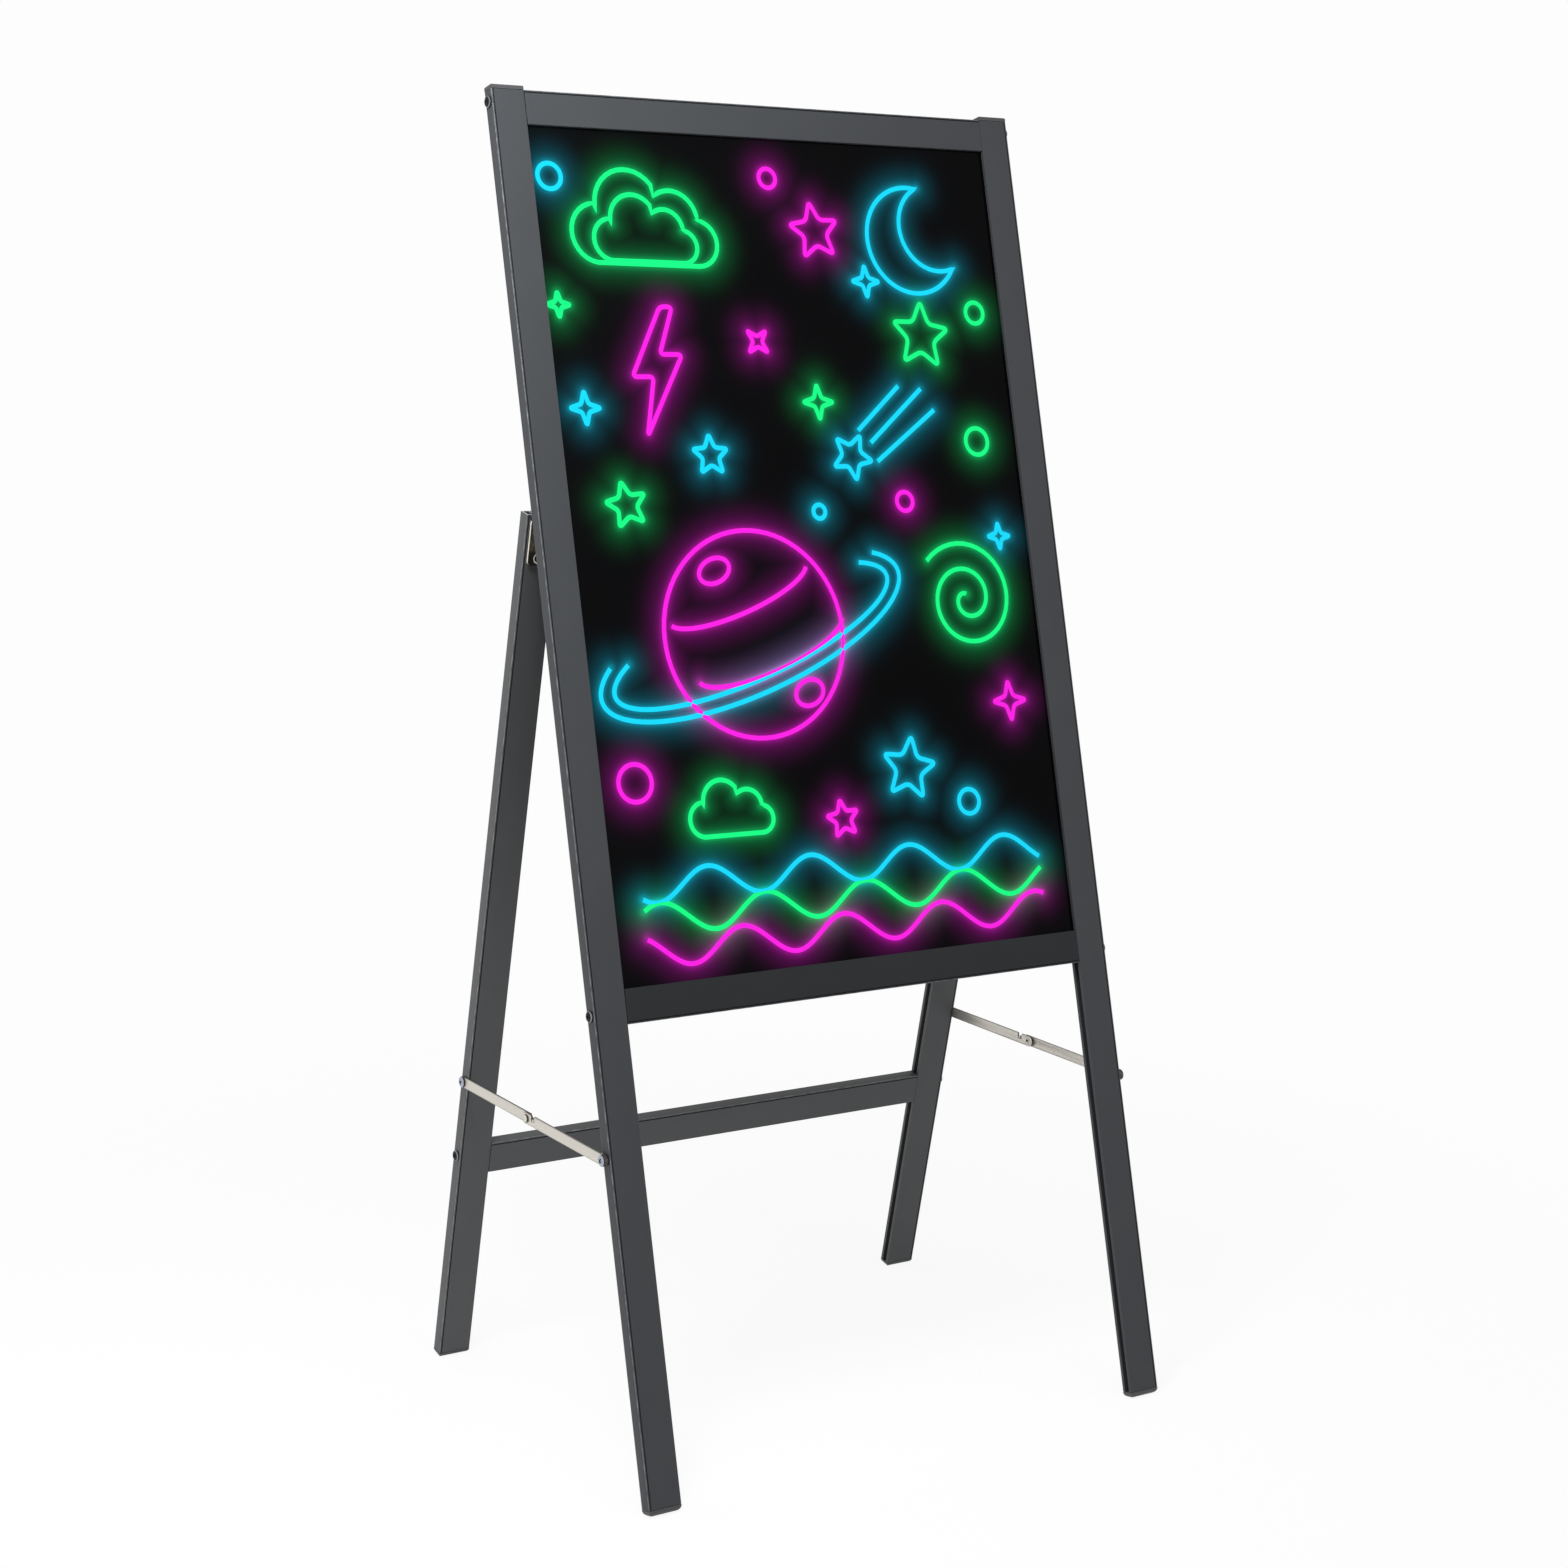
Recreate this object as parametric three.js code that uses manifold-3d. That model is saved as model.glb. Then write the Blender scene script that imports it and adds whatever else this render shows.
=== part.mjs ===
// A folding display board: a leaning front frame of slotted aluminium section holds an edge-lit writing
// panel, a shorter rear frame hinges to its back, and a jointed stay on each side holds the two apart.
// Millimetres, +Z up, the panel faces -Y. Angles are in radians.

import * as THREE from 'three';
import { mergeVertices } from 'three/addons/utils/BufferGeometryUtils.js';
import Module from 'manifold-3d';

const wasm = await Module();
wasm.setup();

// Driving dimensions of the whole board
const FRAME_WIDTH = 438;
const STILE_LENGTH = 971.3;
const LEG_LENGTH = 663;
const FRONT_LEAN = THREE.MathUtils.degToRad(15.3);
const OPEN_ANGLE = THREE.MathUtils.degToRad(26.25);
const BOTTOM_RAIL_HEIGHT = 325.6;
const CROSS_RAIL_HEIGHT = 155;
const HINGE_HEIGHT = 674.7;
const FRONT_PIVOT_HEIGHT = 237.8;
const REAR_PIVOT_HEIGHT = 231.4;

// Clearance between neighbours, and how far a cutting tool runs past what it cuts
const FIT_GAP = 0.3;
const OVERRUN = 1;
const WELD = 0.0001;

// The slotted section that stiles, legs and rails are sawn from
const SECTION_DEPTH = 10;
const LEG_FACE = 25;
const RAIL_FACE = 24;
const WALL = 1.4;
const WEB = 1.2;
const RIB = 1;
const CHAMBER_SPAN = 14;
const SCREW_PORT = 4.2;
const EDGE_RADIUS = 0.4;
const GROOVE_OFFSET = 1.5;
const GROOVE_WIDTH = 0.7;
const GROOVE_DEPTH = 0.45;

// Writing panel, its backing board and the light tapes at its two long edges
const PANEL_THICKNESS = 2.7;
const BACKING_THICKNESS = 0.8;
const PANEL_TOP_PLAY = 0.9;
const TAPE_THICKNESS = 0.5;
const LED_HEIGHT = 0.8;
const LED_LENGTH = 3.5;
const LED_PITCH = 16.7;

// Power inlet in the back of the bottom rail
const INLET_OFFSET = 120;
const INLET_RADIUS = 3.2;
const INLET_LENGTH = 8.1;
const INLET_BORE_RADIUS = 2.3;
const INLET_BORE_DEPTH = 7.2;
const INLET_PIN_RADIUS = 0.65;
const INLET_PIN_INSET = 0.9;
const FLANGE_RADIUS = 4.4;
const FLANGE_THICKNESS = 1.2;

// End caps
const TOP_CAP_HEIGHT = 3;
const TOP_CAP_RADIUS = 1;
const TOP_PLUG_LENGTH = 5;
const FOOT_CAP_HEIGHT = 4.2;
const FOOT_CAP_RADIUS = 4;
const FOOT_PLUG_LENGTH = 10;
const SOLE_TRIM = 0.5;

// Rail screws
const SCREW_HEAD_RADIUS = 4;
const SCREW_HEAD_HEIGHT = 2.2;
const SCREW_RADIUS = 1.8;
const SCREW_REACH = 12;

// Butt hinges between the frames
const HINGE_MARGIN = 3;
const LEAF_WIDTH = 19;
const LEAF_LENGTH = 35;
const LEAF_THICKNESS = 1.6;
const LEAF_CORNER_RADIUS = 3;
const KNUCKLE_RADIUS = 3;
const MIDDLE_KNUCKLE = 7;
const HINGE_PIN_RADIUS = 1.2;
const HINGE_SCREW_MARGIN = 11;
const UPPER_SCREW_DROP = 14;
const LOWER_SCREW_DROP = 30;
const FLUSH_HEAD_RADIUS = 3.5;
const FLUSH_SHANK_RADIUS = 1.65;
const FLUSH_SCREW_LENGTH = 6;
const COUNTERSINK_GAP = 0.4;

// Folding stays
const FRONT_LINK_LENGTH = 110;
const BAR_WIDTH = 8;
const BAR_THICKNESS = 1.2;
const NOTCHED_END = 6.5;
const NOTCH_START = 7;
const NOTCH_WIDTH = 4.5;
const LUG_START = 8.3;
const LUG_WIDTH = 2.6;
const LUG_HEIGHT = 1.5;
const NOSE_LENGTH = 12.5;
const RIVET_RADIUS = 1.7;
const RIVET_HEAD_RADIUS = 3;
const RIVET_HEAD_HEIGHT = 1.1;
const RIVET_FLARE = 0.7;
const PIVOT_HEAD_RADIUS = 4.1;
const PIVOT_HEAD_HEIGHT = 1.8;
const PIVOT_JOURNAL_RADIUS = 2.3;
const PIVOT_COLLAR_RADIUS = 3.7;
const PIVOT_SCREW_LENGTH = 8.5;

// Facets of round shapes
const CORNER_STEPS = 2;
const SOLE_STEPS = 5;
const ROUND_STEPS = 16;

const frameMetal = new THREE.MeshStandardMaterial({ color: '#55575b', roughness: 0.45, metalness: 0.6 });
const capPlastic = new THREE.MeshStandardMaterial({ color: '#4a4b4e', roughness: 0.55, metalness: 0 });
const panelAcrylic = new THREE.MeshStandardMaterial({ color: '#08080a', roughness: 0.08, metalness: 0 });
const backingBoard = new THREE.MeshStandardMaterial({ color: '#151517', roughness: 0.7, metalness: 0 });
const tapeWhite = new THREE.MeshStandardMaterial({ color: '#e9ebe6', roughness: 0.5, metalness: 0 });
const blackPlastic = new THREE.MeshStandardMaterial({ color: '#121214', roughness: 0.5, metalness: 0 });
const blackZinc = new THREE.MeshStandardMaterial({ color: '#2b2c2f', roughness: 0.35, metalness: 0.8 });
const brightZinc = new THREE.MeshStandardMaterial({ color: '#b9bec6', roughness: 0.3, metalness: 0.9 });
const hingeSteel = new THREE.MeshStandardMaterial({ color: '#a9abad', roughness: 0.3, metalness: 0.9 });
const stayNickel = new THREE.MeshStandardMaterial({ color: '#c8c4bc', roughness: 0.35, metalness: 0.8 });

const ACROSS = new THREE.Vector3(1, 0, 0);
const BACK = new THREE.Vector3(0, 1, 0);
const UP = new THREE.Vector3(0, 0, 1);

// Sizes that follow from the driving dimensions
const halfWidth = FRAME_WIDTH / 2;
const rearLean = OPEN_ANGLE - FRONT_LEAN;
const slotWidth = PANEL_THICKNESS + BACKING_THICKNESS + 3 * FIT_GAP;
const slotFloor = WALL + CHAMBER_SPAN + WEB;
const screwLine = WALL + CHAMBER_SPAN / 2;
const middleDepth = SECTION_DEPTH / 2;
const railLength = FRAME_WIDTH - 2 * (LEG_FACE + FIT_GAP);
const topRailEdge = STILE_LENGTH - TOP_CAP_HEIGHT;
const axisOffset = KNUCKLE_RADIUS + FIT_GAP;
const shankHoleRadius = SCREW_RADIUS + FIT_GAP;

// A closed three.js geometry as a solid that can be cut and joined, and back again
function toSolid(geometry) {
  const bare = geometry.clone();
  bare.deleteAttribute('normal');
  bare.deleteAttribute('uv');
  const merged = mergeVertices(bare, WELD);
  return new wasm.Manifold(new wasm.Mesh({
    numProp: 3,
    vertProperties: new Float32Array(merged.attributes.position.array),
    triVerts: new Uint32Array(merged.index.array),
  }));
}

function toGeometry(solid) {
  const mesh = solid.getMesh();
  const geometry = new THREE.BufferGeometry();
  geometry.setAttribute('position', new THREE.BufferAttribute(mesh.vertProperties, 3));
  geometry.setIndex(new THREE.BufferAttribute(mesh.triVerts, 1));
  geometry.computeVertexNormals();
  return geometry;
}

function cut(geometry, tools) {
  let solid = toSolid(geometry);
  for (const tool of tools) {
    solid = solid.subtract(toSolid(tool));
  }
  return toGeometry(solid);
}

function join(geometries) {
  let solid = toSolid(geometries[0]);
  for (const other of geometries.slice(1)) {
    solid = solid.add(toSolid(other));
  }
  return toGeometry(solid);
}

function intersect(first, second) {
  return toGeometry(toSolid(first).intersect(toSolid(second)));
}

// Lays a shape's X and Y along two directions at a corner; its extrusion runs along their cross product
function layOut(geometry, corner, shapeX, shapeY) {
  const basis = new THREE.Matrix4().makeBasis(shapeX, shapeY, shapeX.clone().cross(shapeY));
  return geometry.applyMatrix4(basis.setPosition(corner));
}

function extrude(shape, length, curveSegments = CORNER_STEPS) {
  return new THREE.ExtrudeGeometry(shape, { depth: length, bevelEnabled: false, curveSegments });
}

function block(width, depth, height, x, y, z) {
  return new THREE.BoxGeometry(width, depth, height).translate(x, y, z);
}

// A round bar or drill along X, Y or Z, between two places on that axis
function roundBar(radius, axis, from, to, x, y, z) {
  const bar = new THREE.CylinderGeometry(radius, radius, Math.abs(to - from), ROUND_STEPS);
  bar.applyQuaternion(new THREE.Quaternion().setFromUnitVectors(BACK, axis));
  const middle = axis.clone().multiplyScalar((from + to) / 2);
  return bar.translate(middle.x + x, middle.y + y, middle.z + z);
}

// A revolved piece: its profile gives radius and place along the axis, which points outward
function turned(profile, axis, x, y, z) {
  const points = profile.map(([radius, along]) => new THREE.Vector2(radius, along));
  const piece = new THREE.LatheGeometry(points, ROUND_STEPS);
  piece.applyQuaternion(new THREE.Quaternion().setFromUnitVectors(BACK, axis));
  return piece.translate(x, y, z);
}

// Outline of the section: X runs from the closed outer edge to the slotted inner edge, Y through the depth
function sectionShape(face) {
  const back = SECTION_DEPTH;
  const lip = (SECTION_DEPTH - slotWidth) / 2;
  const grooveStart = GROOVE_OFFSET - GROOVE_WIDTH / 2;
  const grooveEnd = GROOVE_OFFSET + GROOVE_WIDTH / 2;
  const shape = new THREE.Shape();
  shape.moveTo(EDGE_RADIUS, 0);
  shape.lineTo(grooveStart, 0);
  shape.lineTo(GROOVE_OFFSET, GROOVE_DEPTH);
  shape.lineTo(grooveEnd, 0);
  shape.lineTo(face - EDGE_RADIUS, 0);
  shape.quadraticCurveTo(face, 0, face, EDGE_RADIUS);
  shape.lineTo(face, lip);
  shape.lineTo(slotFloor, lip);
  shape.lineTo(slotFloor, back - lip);
  shape.lineTo(face, back - lip);
  shape.lineTo(face, back - EDGE_RADIUS);
  shape.quadraticCurveTo(face, back, face - EDGE_RADIUS, back);
  shape.lineTo(grooveEnd, back);
  shape.lineTo(GROOVE_OFFSET, back - GROOVE_DEPTH);
  shape.lineTo(grooveStart, back);
  shape.lineTo(EDGE_RADIUS, back);
  shape.quadraticCurveTo(0, back, 0, back - EDGE_RADIUS);
  shape.lineTo(0, EDGE_RADIUS);
  shape.quadraticCurveTo(0, 0, EDGE_RADIUS, 0);
  return shape;
}

// The three chambers of the section, from its outer edge: two ribs between them form the screw port
function chambers() {
  const portStart = screwLine - SCREW_PORT / 2;
  const portEnd = screwLine + SCREW_PORT / 2;
  return [
    [WALL, portStart - RIB],
    [portStart, portEnd],
    [portEnd + RIB, WALL + CHAMBER_SPAN],
  ];
}

// Sawn length of the section, along Z from the origin, with its chambers open at both ends
function section(face, length) {
  const broaches = chambers().map(([start, end]) => block(
    end - start, SECTION_DEPTH - 2 * WALL, length + 2 * OVERRUN, (start + end) / 2, middleDepth, length / 2,
  ));
  return cut(extrude(sectionShape(face), length), broaches);
}

// Plug-in end cap with a rounded rim under it and two plugs that fit the outer and inner chambers above
function endCap(side, height, radius, plugLength) {
  const faceShape = roundedFoot(LEG_FACE, height, radius);
  const sideShape = roundedFoot(SECTION_DEPTH, height, radius);
  const across = layOut(
    extrude(faceShape, SECTION_DEPTH, SOLE_STEPS), new THREE.Vector3(0, SECTION_DEPTH, 0), ACROSS, UP,
  );
  const through = layOut(
    extrude(sideShape, LEG_FACE, SOLE_STEPS), new THREE.Vector3(0, 0, 0), BACK, UP,
  );
  const root = height - radius / 2;
  const plugHeight = height + plugLength - root;
  const plugDepth = SECTION_DEPTH - 2 * (WALL + FIT_GAP);
  const parts = [intersect(across, through)];
  const [outerChamber, , innerChamber] = chambers();
  for (const [start, end] of [outerChamber, innerChamber]) {
    const fromEdge = (start + end) / 2;
    const x = side < 0 ? fromEdge : LEG_FACE - fromEdge;
    const plugWidth = end - start - 2 * FIT_GAP;
    parts.push(block(plugWidth, plugDepth, plugHeight, x, middleDepth, root + plugHeight / 2));
  }
  return join(parts);
}

// A rectangle whose two lower corners are rounded
function roundedFoot(width, height, radius) {
  const shape = new THREE.Shape();
  shape.moveTo(0, height);
  shape.lineTo(0, radius);
  shape.absarc(radius, radius, radius, Math.PI, 1.5 * Math.PI, false);
  shape.absarc(width - radius, radius, radius, 1.5 * Math.PI, 2 * Math.PI, false);
  shape.lineTo(width, height);
  shape.closePath();
  return shape;
}

function addPiece(group, name, geometry, material) {
  const mesh = new THREE.Mesh(geometry, material);
  mesh.name = name;
  group.add(mesh);
}

// The front frame leans back and the rear frame leans forward; both stand on their trimmed soles
const board = new THREE.Group();
const frontFrame = new THREE.Group();
const rearFrame = new THREE.Group();
board.add(frontFrame, rearFrame);

const soleCentre = SECTION_DEPTH - FOOT_CAP_RADIUS;
frontFrame.rotation.x = -FRONT_LEAN;
frontFrame.position.z = FOOT_CAP_RADIUS - FOOT_CAP_RADIUS * Math.cos(FRONT_LEAN)
  + soleCentre * Math.sin(FRONT_LEAN) - SOLE_TRIM;

rearFrame.rotation.x = rearLean;
rearFrame.position.z = FOOT_CAP_RADIUS
  - FOOT_CAP_RADIUS * (Math.cos(rearLean) + Math.sin(rearLean)) - SOLE_TRIM;

// The hinge axis lies clear of both frames' faces, and where it meets the rear frame follows from that
const hingeDepth = SECTION_DEPTH + axisOffset;
const hingeY = HINGE_HEIGHT * Math.sin(FRONT_LEAN) + hingeDepth * Math.cos(FRONT_LEAN);
const hingeZ = frontFrame.position.z
  + HINGE_HEIGHT * Math.cos(FRONT_LEAN) - hingeDepth * Math.sin(FRONT_LEAN);
const rearHingeHeight = (hingeZ - rearFrame.position.z + axisOffset * Math.sin(rearLean)) / Math.cos(rearLean);
rearFrame.position.y = hingeY + rearHingeHeight * Math.sin(rearLean) + axisOffset * Math.cos(rearLean);
frontFrame.updateMatrixWorld();
rearFrame.updateMatrixWorld();

// Upright of either frame, drilled from the outside for its screws and on one face for the hinge
function upright(side, length, top, railScrewHeights, pivotHeight, hingeHeight, hingeFaceDepth, inward) {
  const outward = ACROSS.clone().multiplyScalar(side);
  const corner = new THREE.Vector3(side * halfWidth, 0, side < 0 ? top - length : top);
  const bar = layOut(section(LEG_FACE, length), corner, outward.clone().negate(), BACK);
  const tools = railScrewHeights.map((height) => roundBar(
    shankHoleRadius, outward, halfWidth + OVERRUN, halfWidth - LEG_FACE - OVERRUN, 0, middleDepth, height,
  ));
  tools.push(roundBar(
    shankHoleRadius, outward, halfWidth + OVERRUN, halfWidth - PIVOT_SCREW_LENGTH - FIT_GAP,
    0, middleDepth, pivotHeight,
  ));
  for (const drop of [UPPER_SCREW_DROP, LOWER_SCREW_DROP]) {
    tools.push(roundBar(
      FLUSH_SHANK_RADIUS + FIT_GAP, BACK,
      hingeFaceDepth - inward * OVERRUN, hingeFaceDepth + inward * FLUSH_SCREW_LENGTH,
      side * (halfWidth - HINGE_SCREW_MARGIN), 0, hingeHeight - drop,
    ));
  }
  return cut(bar, tools);
}

// Rail between two uprights, its outer edge at the given height and its slot facing up or down
function rail(edgeHeight, slotSide) {
  const shapeX = UP.clone().multiplyScalar(slotSide);
  const corner = new THREE.Vector3(slotSide * railLength / 2, 0, edgeHeight);
  return layOut(section(RAIL_FACE, railLength), corner, shapeX, BACK);
}

// Profile of a domed head from its seat to its crown, as radii and places along the axis
const domeShares = [[1, 0], [1, 0.4], [0.8, 0.85], [0, 1]];

function domedHead(radius, height, seat) {
  return domeShares.map(([across, along]) => [radius * across, seat + height * along]);
}

// Pan-head screw from the outside of an upright into a rail's screw port
function railScrew(side, height) {
  const tip = -LEG_FACE - FIT_GAP - SCREW_REACH;
  const profile = [
    [0, tip],
    [SCREW_RADIUS, tip + SCREW_RADIUS],
    [SCREW_RADIUS, FIT_GAP],
    ...domedHead(SCREW_HEAD_RADIUS, SCREW_HEAD_HEIGHT, FIT_GAP),
  ];
  return turned(profile, ACROSS.clone().multiplyScalar(side), side * halfWidth, middleDepth, height);
}

// Butt hinge leaf: Y is the distance from the face that carries it, and the pin runs along X at Z = 0
function hingeLeaf(barrels, gaps, screwX) {
  const shape = roundedFoot(LEAF_WIDTH, LEAF_LENGTH, LEAF_CORNER_RADIUS);
  const plate = layOut(
    extrude(shape, LEAF_THICKNESS),
    new THREE.Vector3(-LEAF_WIDTH / 2, FIT_GAP + LEAF_THICKNESS, -LEAF_LENGTH), ACROSS, UP,
  );
  const reach = KNUCKLE_RADIUS + FIT_GAP;
  const slots = gaps.map(([from, to]) => block(
    to - from, 4 * reach, 2 * reach, (from + to) / 2, axisOffset, 0,
  ));
  const knuckles = barrels.map(([from, to]) => roundBar(KNUCKLE_RADIUS, ACROSS, from, to, 0, axisOffset, 0));
  const tools = [roundBar(
    HINGE_PIN_RADIUS + FIT_GAP, ACROSS, -LEAF_WIDTH / 2 - OVERRUN, LEAF_WIDTH / 2 + OVERRUN, 0, axisOffset, 0,
  )];
  for (const drop of [UPPER_SCREW_DROP, LOWER_SCREW_DROP]) {
    tools.push(flushScrew(COUNTERSINK_GAP, OVERRUN).translate(screwX, FIT_GAP + LEAF_THICKNESS, -drop));
  }
  return cut(join([cut(plate, slots), ...knuckles]), tools);
}

// Flush-head screw with its head in the plane Y = 0 and its tip toward -Y; fatter and longer as a cutter
function flushScrew(growth, overrun) {
  const slope = (FLUSH_HEAD_RADIUS - FLUSH_SHANK_RADIUS) / LEAF_THICKNESS;
  const profile = [
    [0, -FLUSH_SCREW_LENGTH],
    [FLUSH_SHANK_RADIUS + growth, -FLUSH_SCREW_LENGTH + FLUSH_SHANK_RADIUS],
    [FLUSH_SHANK_RADIUS + growth, -LEAF_THICKNESS],
    [FLUSH_HEAD_RADIUS + growth + slope * overrun, overrun],
    [0, overrun],
  ];
  return turned(profile, BACK, 0, 0, 0);
}

// Light tape with its row of raised light chips, along the height of the opening
function ledStrip(length) {
  const count = Math.floor(length / LED_PITCH);
  const margin = (length - (count - 1) * LED_PITCH - LED_LENGTH) / 2;
  const chipTop = TAPE_THICKNESS + LED_HEIGHT;
  const shape = new THREE.Shape();
  shape.moveTo(0, 0);
  shape.lineTo(length, 0);
  shape.lineTo(length, TAPE_THICKNESS);
  for (let i = count - 1; i >= 0; i -= 1) {
    const start = margin + i * LED_PITCH;
    shape.lineTo(start + LED_LENGTH, TAPE_THICKNESS);
    shape.lineTo(start + LED_LENGTH, chipTop);
    shape.lineTo(start, chipTop);
    shape.lineTo(start, TAPE_THICKNESS);
  }
  shape.lineTo(0, TAPE_THICKNESS);
  shape.closePath();
  return extrude(shape, slotWidth - 2 * FIT_GAP);
}

// Front frame: stiles, rails, caps and screws
const sideNames = [[-1, 'left'], [1, 'right']];
const railScrewHeights = [BOTTOM_RAIL_HEIGHT + screwLine, topRailEdge - screwLine];
const barStart = FOOT_CAP_HEIGHT + FIT_GAP;
const stileTop = topRailEdge - FIT_GAP;

for (const [side, sideName] of sideNames) {
  addPiece(frontFrame, `front_stile_${sideName}`, upright(
    side, stileTop - barStart, stileTop,
    railScrewHeights, FRONT_PIVOT_HEIGHT, HINGE_HEIGHT, SECTION_DEPTH, -1,
  ), frameMetal);
  for (const [height, railName] of [[railScrewHeights[0], 'bottom'], [railScrewHeights[1], 'top']]) {
    addPiece(frontFrame, `rail_screw_${railName}_${sideName}`, railScrew(side, height), blackZinc);
  }
}

addPiece(frontFrame, 'top_rail', rail(topRailEdge, -1), frameMetal);

const inletHole = roundBar(
  INLET_RADIUS + FIT_GAP, BACK, SECTION_DEPTH + OVERRUN, SECTION_DEPTH - INLET_LENGTH - FIT_GAP,
  INLET_OFFSET, 0, railScrewHeights[0],
);
addPiece(frontFrame, 'bottom_rail', cut(rail(BOTTOM_RAIL_HEIGHT, 1), [inletHole]), frameMetal);

const inletProfile = [
  [0, -INLET_LENGTH],
  [INLET_RADIUS, -INLET_LENGTH],
  [INLET_RADIUS, FIT_GAP],
  [FLANGE_RADIUS, FIT_GAP],
  [FLANGE_RADIUS, FIT_GAP + FLANGE_THICKNESS],
  [INLET_BORE_RADIUS, FIT_GAP + FLANGE_THICKNESS],
  [INLET_BORE_RADIUS, FIT_GAP + FLANGE_THICKNESS - INLET_BORE_DEPTH],
  [INLET_PIN_RADIUS, FIT_GAP + FLANGE_THICKNESS - INLET_BORE_DEPTH],
  [INLET_PIN_RADIUS, FIT_GAP + FLANGE_THICKNESS - INLET_PIN_INSET],
  [0, FIT_GAP + FLANGE_THICKNESS - INLET_PIN_INSET],
];
addPiece(frontFrame, 'dc_inlet', turned(
  inletProfile, BACK, INLET_OFFSET, SECTION_DEPTH, railScrewHeights[0],
), blackPlastic);

// Panel, backing and light tapes, carried in the slots all round the opening
const slotFront = middleDepth - slotWidth / 2;
const tapeFace = halfWidth - slotFloor - FIT_GAP;
const panelHalfWidth = tapeFace - TAPE_THICKNESS - LED_HEIGHT - FIT_GAP;
const panelBottom = BOTTOM_RAIL_HEIGHT + slotFloor + FIT_GAP;
const panelTop = topRailEdge - slotFloor - PANEL_TOP_PLAY;
const openingBottom = BOTTOM_RAIL_HEIGHT + RAIL_FACE;
const openingTop = topRailEdge - RAIL_FACE;

function sheet(thickness, front) {
  return block(
    2 * panelHalfWidth, thickness, panelTop - panelBottom,
    0, front + thickness / 2, (panelTop + panelBottom) / 2,
  );
}

const panelFront = slotFront + FIT_GAP;
addPiece(frontFrame, 'writing_panel', sheet(PANEL_THICKNESS, panelFront), panelAcrylic);
addPiece(frontFrame, 'backing_board', sheet(
  BACKING_THICKNESS, panelFront + PANEL_THICKNESS + FIT_GAP,
), backingBoard);

for (const [side, sideName] of sideNames) {
  const inward = ACROSS.clone().multiplyScalar(-side);
  const corner = new THREE.Vector3(
    side * tapeFace, side < 0 ? slotFront + FIT_GAP : slotFront + slotWidth - FIT_GAP, openingBottom,
  );
  const tape = layOut(ledStrip(openingTop - openingBottom), corner, UP, inward);
  addPiece(frontFrame, `led_strip_${sideName}`, tape, tapeWhite);
}

// Rear frame: legs, cross rail and screws
const crossScrewHeight = CROSS_RAIL_HEIGHT + RAIL_FACE - screwLine;
for (const [side, sideName] of sideNames) {
  addPiece(rearFrame, `rear_leg_${sideName}`, upright(
    side, LEG_LENGTH - barStart, LEG_LENGTH, [crossScrewHeight], REAR_PIVOT_HEIGHT, rearHingeHeight, 0, 1,
  ), frameMetal);
  addPiece(rearFrame, `cross_rail_screw_${sideName}`, railScrew(side, crossScrewHeight), blackZinc);
}
addPiece(rearFrame, 'cross_rail', rail(CROSS_RAIL_HEIGHT + RAIL_FACE, -1), frameMetal);

// Caps: a soft-cornered foot trimmed level with the ground under each upright, a thin cap on each stile
function footCap(side, frame) {
  const room = 4 * LEG_FACE;
  const ground = block(room, room, room, 0, 0, -room / 2 - frame.position.z).rotateX(-frame.rotation.x);
  return cut(endCap(side, FOOT_CAP_HEIGHT, FOOT_CAP_RADIUS, FOOT_PLUG_LENGTH), [ground]);
}

for (const [side, sideName] of sideNames) {
  const edge = side < 0 ? -halfWidth : halfWidth - LEG_FACE;
  const frontFoot = footCap(side, frontFrame).translate(edge, 0, 0);
  addPiece(frontFrame, `foot_cap_front_${sideName}`, frontFoot, capPlastic);
  const rearFoot = footCap(side, rearFrame).translate(edge, 0, 0);
  addPiece(rearFrame, `foot_cap_rear_${sideName}`, rearFoot, capPlastic);
  const topCap = endCap(side, TOP_CAP_HEIGHT, TOP_CAP_RADIUS, TOP_PLUG_LENGTH);
  topCap.rotateX(Math.PI).translate(edge, SECTION_DEPTH, STILE_LENGTH);
  addPiece(frontFrame, `stile_top_cap_${sideName}`, topCap, capPlastic);
}

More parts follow.
